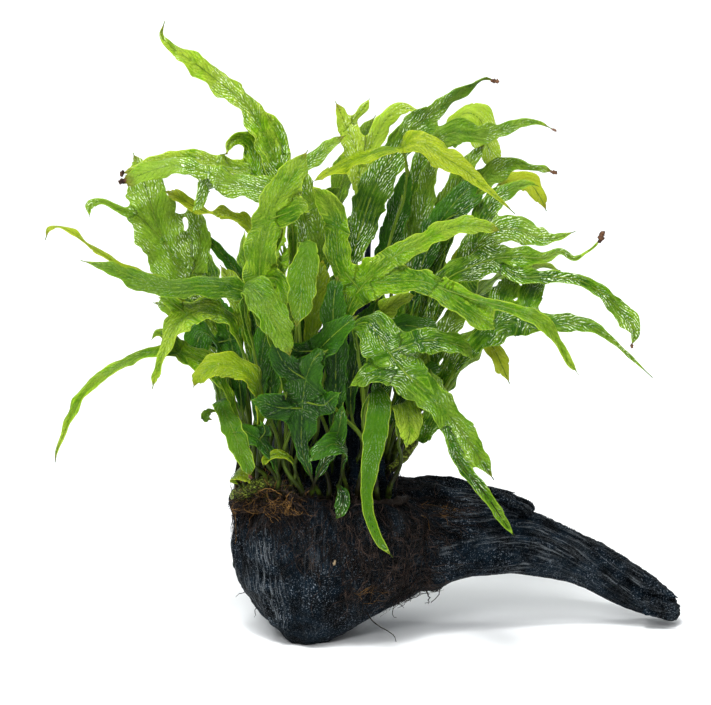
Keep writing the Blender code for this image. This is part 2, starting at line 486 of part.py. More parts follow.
                (-5, 98, 108, 0)],
        "lobes": [],
    },
    "back_right": {
        "foot": (19, 37.4), "colour": "mid", "roll": 0, "face": FACE_AWAY,
        "rib": [(28, 95, 48, 1.1), (36, 122, 58, 2.4), (46, 140, 66, 6.5), (58, 152, 72, 7),
                (70, 160, 76, 5), (80, 163, 78, 0)],
        "lobes": [(3.6, [(48, 158, 70, 4.4), (52, 169, 74, 3.6), (56, 179, 76, 0)]),
                  (4.2, [(66, 142, 76, 4), (74, 138, 80, 3), (80, 132, 82, 0)])],
    },
    "back_low_right": {
        "foot": (24.5, 34.8), "colour": "fresh", "roll": 0, "face": FACE_AWAY,
        "rib": [(29, 84, 44, 1.1), (40, 99, 64, 3.8), (46, 110, 80, 6), (48, 118, 92, 5),
                (49, 122, 100, 0)],
        "lobes": [],
    },
    "side_right": {
        "foot": (33.1, 20.5), "colour": "fresh", "roll": 0, "face": FACE_AWAY,
        "rib": [(50, 95, 24, 1.1), (58, 125, 32, 2), (68, 142, 40, 5.5), (80, 150, 48, 5), (92, 152, 54, 3),
                (100, 150, 58, 0)],
        "lobes": [],
    },
}


# ---------------------------------------------------------------- helpers

def metres(point):
    return Vector(point) * MM


def seen(x, z, y):
    """The point at depth y that the viewer sees at (x, z) on the plane through the origin."""
    sine, cosine = math.sin(VIEW_TILT), math.cos(VIEW_TILT)
    up = Vector((0, sine, cosine))
    ahead = Vector((0, cosine, -sine))
    eye = Vector((VIEW_CENTRE[0], 0, 0)) + up * (VIEW_CENTRE[1] + FRONT_EDGE) - ahead * VIEW_DISTANCE
    on_plane = Vector((x, 0, 0)) + up * (z + FRONT_EDGE)
    return eye + (on_plane - eye) * ((y - eye.y) / (on_plane.y - eye.y))


def material(name, colour, roughness):
    made = bpy.data.materials.get(name) or bpy.data.materials.new(name)
    made.use_nodes = True
    shader = made.node_tree.nodes["Principled BSDF"]
    shader.inputs["Base Color"].default_value = (*colour, 1)
    shader.inputs["Roughness"].default_value = roughness
    return made


def collection(name, helpers=False):
    made = bpy.data.collections.new(name)
    bpy.context.scene.collection.children.link(made)
    made.hide_render = helpers
    return made


def add_object(name, mesh, group, look=None):
    made = bpy.data.objects.new(name, mesh)
    group.objects.link(made)
    if look:
        mesh.materials.append(look)
    return made


def cut(target, cutter, operation="DIFFERENCE"):
    boolean = target.modifiers.new(f"{operation.lower()} {cutter.name}", "BOOLEAN")
    boolean.operation = operation
    boolean.solver = "EXACT"
    boolean.object = cutter
    cutter.hide_render = True
    cutter.display_type = "WIRE"


def smooth(mesh, angle=math.radians(40)):
    mesh.shade_smooth()
    mesh.set_sharp_from_angle(angle=angle)


# ---------------------------------------------------------------- driftwood

def wood_relief(angle, along):
    """The weathered surface's distance from the middle, as a share of the radius."""
    return 1 + sum(depth * math.sin(count * angle + start + wander * along)
                   for count, depth, start, wander in FLUTES)


def loft(name, rings, group, look=None):
    """A closed solid through rings of equally many points."""
    form = bmesh.new()
    made = [[form.verts.new(metres(point)) for point in ring] for ring in rings]
    for lower, upper in zip(made, made[1:]):
        for i in range(len(lower)):
            j = (i + 1) % len(lower)
            form.faces.new((lower[i], lower[j], upper[j], upper[i]))
    form.faces.new(reversed(made[0]))
    form.faces.new(made[-1])
    bmesh.ops.triangulate(form, faces=form.faces, quad_method="FIXED")
    bmesh.ops.recalc_face_normals(form, faces=form.faces)
    mesh = bpy.data.meshes.new(name)
    form.to_mesh(mesh)
    form.free()
    smooth(mesh)
    return add_object(name, mesh, group, look)


def level_rings(levels, sides, grow=0.0):
    """Level outlines of a standing piece of wood. The lowest and highest stay flat."""
    rings = []
    for height, x, y, half_width, half_depth in levels:
        along = height / FLUTE_WANDER
        ring = []
        for i in range(sides):
            angle = 2 * math.pi * i / sides
            relief = wood_relief(angle, along)
            ring.append((x + (half_width * relief + grow) * math.cos(angle),
                         y + (half_depth * relief + grow) * math.sin(angle), height))
        rings.append(ring)
    if grow:
        rings[-1] = [(x, y, z + grow) for x, y, z in rings[-1]]
        rings[0] = [(x, y, z - grow) for x, y, z in rings[0]]
    return rings


def lying_rings(sections, sides, grow=0.0):
    """Outlines across a lying piece of wood, leaning a little. What would go below the floor is flat."""
    rings = []
    for number, (x, low, high, depth, half_depth) in enumerate(sections):
        bottom, top = seen(x, low, depth), seen(x, high, depth)
        centre, half_height = (bottom + top) / 2, (top - bottom).length / 2
        ring = []
        for i in range(sides):
            angle = 2 * math.pi * i / sides
            relief = wood_relief(angle, 0.5 * number)
            across = (half_depth * relief + grow) * math.cos(angle)
            rise = (half_height * relief + grow) * math.sin(angle)
            lean = LEAN_BY_DEPTH * across + LEAN_BY_RISE * rise
            ring.append((centre.x - lean, centre.y + across, max(0.0, centre.z + rise)))
        rings.append(ring)
    return rings


def make_driftwood(group, helpers):
    wood = material("blackened driftwood", (0.018, 0.019, 0.022), 0.85)
    loft("driftwood_stump", level_rings(STUMP_LEVELS, STUMP_SIDES), group, wood)
    branch = loft("driftwood_branch", lying_rings(BRANCH_SECTIONS, BRANCH_SIDES), group, wood)
    ledge = loft("ledge", lying_rings(LEDGE_SECTIONS, LEDGE_SIDES), helpers)
    loft("driftwood_upright", level_rings(UPRIGHT_LEVELS, UPRIGHT_SIDES), group, wood)
    room_for_stump = loft("room for stump", level_rings(STUMP_LEVELS, STUMP_SIDES, GAP), helpers)
    room_for_branch = loft("room for branch", lying_rings(BRANCH_SECTIONS, BRANCH_SIDES, GAP), helpers)
    room_for_ledge = loft("room for ledge", lying_rings(LEDGE_SECTIONS, LEDGE_SIDES, GAP), helpers)
    cut(branch, ledge, "UNION")
    cut(branch, room_for_stump)
    return room_for_stump, room_for_branch, room_for_ledge


# ---------------------------------------------------------------- ribs

class Rib:
    """A smooth line through points with a half width at each. Its knots are the points, counted from 0."""

    def __init__(self, points, half_widths=None, face=(0, 0, 1), roll=0.0, first_normal=None):
        self.points = points
        self.half_widths = half_widths or [0.0] * len(points)
        self.face = Vector(face).normalized()
        self.roll = math.radians(roll)
        self.first_normal = first_normal
        self.spans = [(b - a).length for a, b in zip(points, points[1:])]
        self.last = len(points) - 1
        self.normals = self.carried_normals()

    def slope(self, values, i):
        """The rate of change at knot i, per millimetre along the line."""
        if i == 0:
            return (values[1] - values[0]) / self.spans[0]
        if i == self.last:
            return (values[i] - values[i - 1]) / self.spans[-1]
        before, after = self.spans[i - 1], self.spans[i]
        return ((values[i + 1] - values[i]) / after * before
                + (values[i] - values[i - 1]) / before * after) / (before + after)

    def place(self, knot):
        i = min(int(knot), self.last - 1)
        t = knot - i
        span = self.spans[i]
        a, b = self.points[i], self.points[i + 1]
        da, db = self.slope(self.points, i) * span, self.slope(self.points, i + 1) * span
        return (a * (2 * t**3 - 3 * t**2 + 1) + da * (t**3 - 2 * t**2 + t)
                + b * (3 * t**2 - 2 * t**3) + db * (t**3 - t**2))

    def direction(self, knot, reach=0.02):
        low, high = max(0.0, knot - reach), min(self.last, knot + reach)
        return (self.place(high) - self.place(low)).normalized()

    def half_width(self, knot):
        i = min(int(knot), self.last - 1)
        t = knot - i
        eased = t * t * (3 - 2 * t)
        return self.half_widths[i] * (1 - eased) + self.half_widths[i + 1] * eased

    def carried_normals(self):
        """The way the upper side looks, PER_KNOT to a knot: carried along the rib both ways from the widest
        part, or on from first_normal, with no twist but what slowly brings it square to the face direction."""
        count = self.last * PER_KNOT
        knots = [i / PER_KNOT for i in range(count + 1)]
        start = 0 if self.first_normal else max(range(count), key=lambda i: self.half_width(knots[i]))
        normals = [self.first_normal or self.face] * (count + 1)
        for order in (range(start, count + 1), range(start, -1, -1)):
            normal = self.first_normal or self.face
            for i in order:
                ahead = self.direction(knots[i])
                squared = self.face - ahead * self.face.dot(ahead)
                if normal.dot(squared) < 0:
                    squared.negate()
                step = self.spans[min(int(knots[i]), self.last - 1)] / PER_KNOT
                normal = normal - ahead * normal.dot(ahead) + squared * (step / EASE_LENGTH)
                normal.normalize()
                normals[i] = normal.copy()
        return normals

    def normal(self, knot):
        """The way the upper side looks at a knot, turned by the roll."""
        ahead = self.direction(knot)
        i = min(int(knot * PER_KNOT), len(self.normals) - 2)
        carried = self.normals[i].lerp(self.normals[i + 1], knot * PER_KNOT - i)
        squared = (carried - ahead * carried.dot(ahead)).normalized()
        return Matrix.Rotation(self.roll * (knot / self.last)**2, 3, ahead) @ squared

    def sides(self, knot):
        """The two margins of the blade, left and right of the way the rib runs. The one on the inside of a
        tight turn stops short of the turn's middle."""
        across = self.direction(knot).cross(self.normal(knot))
        low, high = max(0.0, knot - 0.5), min(self.last, knot + 0.5)
        turned = (self.direction(high) - self.direction(low)).dot(across)
        bend = turned / (self.place(high) - self.place(low)).length
        most = TURN_SHARE / max(abs(bend), 1e-6)
        half = self.half_width(knot)
        left, right = (half, min(half, most)) if bend > 0 else (min(half, most), half)
        middle = self.place(knot)
        return middle - across * left, middle + across * right


def rhizome_line(points):
    return [Vector((x, y, STUMP_TOP + rise)) for x, y, rise in points]


def foot_point(x, y):
    """Where a stalk starts: just above the rhizome nearest to (x, y), and higher where that climbs."""
    lines = [Rib(rhizome_line(points)) for points in RHIZOMES.values()]
    line, knot = min(((line, i / PER_KNOT) for line in lines for i in range(line.last * PER_KNOT + 1)),
                     key=lambda found: (found[0].place(found[1]).xy - Vector((x, y))).length)
    flat = line.direction(knot).xy.length
    climb = math.sqrt(1 - flat**2) / flat
    height = line.place(knot).z + (RHIZOME_RADIUS + FOOT_CLEARANCE) / flat + STALK_HALF_WIDTH * climb
    return Vector((x, y, height))


def main_rib(frond):
    foot = foot_point(*frond["foot"])
    points = [foot] + [seen(x, z, y) for x, z, y, _ in frond["rib"]]
    half_widths = [STALK_HALF_WIDTH] + [half_width for *_, half_width in frond["rib"]]
    return Rib(points, half_widths, frond.get("face", FACE_VIEWER), frond["roll"])


def lobe_rib(parent, start, points):
    """A lobe's rib leaves its parent's line and keeps the parent's surface there."""
    line = [parent.place(start)] + [seen(x, z, y) for x, z, y, _ in points]
    half_widths = [points[0][3]] + [half_width for *_, half_width in points]
    return Rib(line, half_widths, parent.face, 0.0, parent.normal(start))


def sections_of(rib, first, breaks):
    """Where a strip has a section: at every point, the lobes' breaks and the middle of a long stretch."""
    knots = [float(k) for k in range(first, rib.last)]
    knots += [k + 0.5 for k in range(first, rib.last) if rib.spans[k] > LONG_SPAN]
    knots = [k for k in knots if k == first or all(abs(k - b) > SECTION_APART for b in breaks)]
    return sorted(knots + list(breaks))


def clear_of(parent, rib, knot):
    """True if the section there lies wholly beyond the parent's margin."""
    line = [i / PER_KNOT for i in range(parent.last * PER_KNOT + 1)]
    for corner in rib.sides(knot):
        nearest = min(line, key=lambda k: (parent.place(k) - corner).length)
        if (parent.place(nearest) - corner).length < parent.half_width(nearest) + LOBE_MARGIN:
            return False
    return True


def lobe_gap(parent, start, half_width):
    """The two knots of the parent between which a lobe's base lies along the margin."""
    span = parent.spans[min(int(start), parent.last - 1)]
    reach = half_width / span
    return max(FIRST_GAP, start - reach), min(parent.last - LAST_GAP, start + reach)


class Blade:
    """One frond's open surface, strip by strip. Solidify gives it its thickness."""

    def __init__(self):
        self.form = bmesh.new()
        self.thick = self.form.verts.layers.deform.verify()

    def vert(self, point, thickness_share):
        made = self.form.verts.new(metres(point))
        made[self.thick][0] = thickness_share
        return made

    def strip(self, rib, knots, opening=None):
        """Quads from section to section, and the tip. A lobe starts at opening, two verts of its parent."""
        rows = [opening] if opening else []
        for knot in knots:
            left, right = rib.sides(knot)
            stalk = not rib.first_normal and rib.half_width(knot) < STALK_LIMIT and knot < STALK_KNOTS
            share = 1.0 if stalk else BLADE_THICKNESS / STALK_THICKNESS
            rows.append((self.vert(left, share), self.vert(right, share)))
        for (left, right), (next_left, next_right) in zip(rows, rows[1:]):
            self.form.faces.new((left, right, next_right, next_left))
        tip = self.vert(rib.place(rib.last), BLADE_THICKNESS / STALK_THICKNESS)
        self.form.faces.new((rows[-1][0], rows[-1][1], tip))
        return rows


def side_of(parent, start, lobe):
    """+1 if the lobe leaves on the right of its parent, -1 on the left."""
    right = parent.direction(start).cross(parent.normal(start))
    return 1 if right.dot(lobe.points[1] - lobe.points[0]) > 0 else -1


def make_frond(name, frond, group):
    """One frond, stalk and lobed blade in one piece."""
    main = main_rib(frond)
    ribs, parents = [main], [None]
    for start, points, *parent in frond["lobes"]:
        parents.append(parent[0] + 1 if parent else 0)
        ribs.append(lobe_rib(ribs[parents[-1]], start, points))
    starts = [0.0] + [lobe[0] for lobe in frond["lobes"]]
    blade = Blade()
    made = {}
    for number, rib in enumerate(ribs):
        gaps = {child: lobe_gap(rib, starts[child], ribs[child].half_widths[0])
                for child in range(1, len(ribs)) if parents[child] == number}
        breaks = []
        for low, high in gaps.values():
            breaks += [k for k in (low, high) if all(abs(k - b) > BREAK_APART for b in breaks)]
        knots = sections_of(rib, 0 if number == 0 else 1, breaks)
        opening = made.get(number)
        while opening and len(knots) > 1 and not clear_of(ribs[parents[number]], rib, knots[0]):
            knots.pop(0)
        rows = blade.strip(rib, knots, opening)
        offset = 1 if opening else 0
        for child, (low, high) in gaps.items():
            near = min(range(len(knots)), key=lambda i: abs(knots[i] - low)) + offset
            side = 1 if side_of(rib, starts[child], ribs[child]) > 0 else 0
            proximal, distal = rows[near][side], rows[near + 1][side]
            made[child] = (distal, proximal) if side else (proximal, distal)
    mesh = bpy.data.meshes.new(name)
    blade.form.to_mesh(mesh)
    blade.form.free()
    smooth(mesh)
    leaf = material(f"{frond['colour']} frond", GREENS[frond["colour"]], 0.3)
    made_object = add_object(f"frond_{name}", mesh, group, leaf)
    made_object.vertex_groups.new(name="thickness")
    solidify = made_object.modifiers.new("thickness", "SOLIDIFY")
    solidify.thickness = STALK_THICKNESS * MM
    solidify.offset = 0
    solidify.vertex_group = "thickness"
    return made_object


# ---------------------------------------------------------------- rhizomes and roots

def tube(name, points, radii, group, look=None):
    """A round tube through points."""
    line = Rib(points, radii)
    curve = bpy.data.curves.new(name, "CURVE")
    curve.dimensions = "3D"
    curve.bevel_depth = MM
    curve.bevel_resolution = 1
    curve.use_fill_caps = True
    spline = curve.splines.new("POLY")
    steps = 2 * line.last
    spline.points.add(steps)
    for i, point in enumerate(spline.points):
        point.co = (*metres(line.place(i / 2)), 1)
        point.radius = line.half_width(i / 2)
    return add_object(name, curve, group, look)


def as_mesh(tube_object, group):
    """The same tube as a mesh with its caps welded on, which a Boolean can cut."""
    evaluated = tube_object.evaluated_get(bpy.context.evaluated_depsgraph_get())
    mesh = bpy.data.meshes.new_from_object(evaluated)
    name = tube_object.name
    bpy.data.objects.remove(tube_object)
    form = bmesh.new()
    form.from_mesh(mesh)
    bmesh.ops.remove_doubles(form, verts=form.verts, dist=0.01 * MM)
    bmesh.ops.recalc_face_normals(form, faces=form.faces)
    form.to_mesh(mesh)
    form.free()
    smooth(mesh)
    return add_object(name, mesh, group)


def make_rhizomes(group, rooms):
    bark = material("creeping rhizome", (0.10, 0.12, 0.03), 0.6)
    for name, points in RHIZOMES.items():
        radii = [RHIZOME_RADIUS] * len(points)
        radii[0] = radii[-1] = RHIZOME_TIP_SHARE * RHIZOME_RADIUS
        rhizome = as_mesh(tube(name, rhizome_line(points), radii, group, bark), group)
        for room in rooms:
            cut(rhizome, room)


def prism(name, outline, y_from, y_to, group):
    """An outline in x and z, carried from y_from to y_to."""
    form = bmesh.new()
    face = form.faces.new([form.verts.new(metres((x, y_from, z))) for x, z in outline])
    carried = bmesh.ops.extrude_face_region(form, geom=[face])
    ends = [item for item in carried["geom"] if isinstance(item, bmesh.types.BMVert)]
    bmesh.ops.translate(form, verts=ends, vec=metres((0, y_to - y_from, 0)))
    bmesh.ops.recalc_face_normals(form, faces=form.faces)
    mesh = bpy.data.meshes.new(name)
    form.to_mesh(mesh)
    form.free()
    return add_object(name, mesh, group)


def root_mat(name, shapes, over_branch, felt, group, helpers, rooms):
    """Felted roots that hug the wood: the part of the thickened wood inside the shapes."""
    thickness = GAP + ROOT_MAT_THICKNESS
    mat = loft(name, level_rings(STUMP_LEVELS, STUMP_SIDES, thickness), group, felt)
    if over_branch:
        swollen = lying_rings(BRANCH_SECTIONS, BRANCH_SIDES, thickness)
        cut(mat, loft(name + " branch", swollen, helpers), "UNION")
    first, *others = [prism(f"{name} {i}", *shape, helpers) for i, shape in enumerate(shapes)]
    for other in others:
        cut(first, other, "UNION")
    cut(mat, first, "INTERSECT")
    for room in rooms:
        cut(mat, room)


def make_roots(group, helpers, rooms):
    felt = material("root felt", (0.11, 0.045, 0.02), 0.9)
    for name, (over_branch, shapes) in ROOT_MATS.items():
        root_mat(name, shapes, over_branch, felt, group, helpers, rooms)
    strand = [seen(*point) for point in HANGING_ROOT]
    tube("root_hanging", strand, [ROOT_RADIUS] * len(strand), group, felt)


def main():
    for old in list(bpy.data.objects):
        bpy.data.objects.remove(old)
    parts = collection("java fern on driftwood")
    helpers = collection("cutters", helpers=True)
    rooms = make_driftwood(parts, helpers)
    make_rhizomes(parts, rooms)
    make_roots(parts, helpers, rooms)
    for name, frond in FRONDS.items():
        make_frond(name, frond, parts)


main()
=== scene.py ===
"""The looks of the java fern on driftwood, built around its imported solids.

The tables and the named lengths are in millimetres, with +Z up, and MM turns them into the scene's metres.
Only the floor and the lights are given in metres.
"""

import math
import random

import bmesh
import bpy
import numpy as np
from mathutils import Matrix, Vector, noise
from mathutils.bvhtree import BVHTree


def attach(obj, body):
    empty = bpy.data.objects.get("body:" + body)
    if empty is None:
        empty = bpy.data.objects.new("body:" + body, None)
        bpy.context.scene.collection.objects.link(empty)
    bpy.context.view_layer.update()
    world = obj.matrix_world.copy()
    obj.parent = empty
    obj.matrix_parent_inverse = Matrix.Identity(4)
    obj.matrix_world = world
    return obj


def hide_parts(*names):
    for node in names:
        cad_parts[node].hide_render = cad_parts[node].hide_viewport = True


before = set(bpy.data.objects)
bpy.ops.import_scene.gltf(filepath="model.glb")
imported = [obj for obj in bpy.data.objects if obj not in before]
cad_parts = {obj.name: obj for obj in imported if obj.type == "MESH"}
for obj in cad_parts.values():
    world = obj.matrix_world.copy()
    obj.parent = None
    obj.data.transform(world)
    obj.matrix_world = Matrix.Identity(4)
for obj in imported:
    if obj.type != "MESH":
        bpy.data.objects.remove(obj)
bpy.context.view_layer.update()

MM = 0.001

# ---------------------------------------------------------------- how the fern is laid out

# As for the solids: a viewer in front sees x to the right and z up from the foot's front edge, on the
# upright plane through the origin that faces the viewer, and y is the true depth.
VIEW_TILT = math.radians(10.0)
VIEW_DISTANCE = 900.0
VIEW_CENTRE = (18.0, 117.0)
FRONT_EDGE = -5.2  # where the foot's front edge shows on that plane
PICTURE_WIDTH = 711 * 0.4  # what the picture's 711 pixels span on that plane

# The viewer's up and ahead, and the viewer's eye
UP = Vector((0, math.sin(VIEW_TILT), math.cos(VIEW_TILT)))
AHEAD = Vector((0, math.cos(VIEW_TILT), -math.sin(VIEW_TILT)))
EYE = Vector((VIEW_CENTRE[0], 0, 0)) + UP * (VIEW_CENTRE[1] + FRONT_EDGE) - AHEAD * VIEW_DISTANCE

STUMP_TOP = 56.5

# Rhizomes: the middle line of each one, creeping over the stump's top, as (x, y, height above that top).
# The one in the middle climbs off the wood a few millimetres to the left of its solid.
RHIZOME_RADIUS = 3.2
RHIZOMES = {
    "rhizome_front": [(-29, -13, 1.0), (-27, -19, 2.0), (-20, -25, 2.5), (-8, -27, 2.0), (8, -27, 2.5),
                      (22, -25, 2.5), (32, -21, 2.0), (38, -14, 2.5)],
    "rhizome_middle": [(-27, -4, 1.5), (-22, -8, 2.5), (-10, -9, 2.0), (4, -8, 2.5), (16, -7.5, 2.5),
                       (26, -6, 4), (30.5, -5.5, 10), (35.5, -7, 15.5), (39.5, -8, 20.5),
                       (42.5, -8.5, 25.5)],
    "rhizome_back": [(-25, 2, 2.0), (-27, 10, 2.5), (-26.5, 19, 2.0), (-22.5, 30, 2.5), (-12, 38, 2.0),
                     (2, 40, 2.5), (14, 39, 2.5), (24, 35, 3), (31, 27, 5), (34, 16, 8.5), (35, 6, 10)],
}

# The long root that hangs free to the floor, as seen: (x, z, y)
HANGING_ROOT = [(22.5, 13, -26), (24.5, 10, -26), (27.5, 7.5, -25), (31, 5.5, -22), (33.5, 3.5, -20),
                (34.2, 1.4, -18)]

STALK_HALF_WIDTH = 1.1
FOOT_CLEARANCE = 1.1  # between a rhizome's upper side and the start of a stalk
PER_KNOT = 8  # a rib's upper side is found this many times between two points
EASE_LENGTH = 30.0  # over which a blade turns its upper side towards its face direction
FACE_VIEWER = (0.0, -0.8, 0.6)
FACE_AWAY = (0.0, 0.6, 0.8)

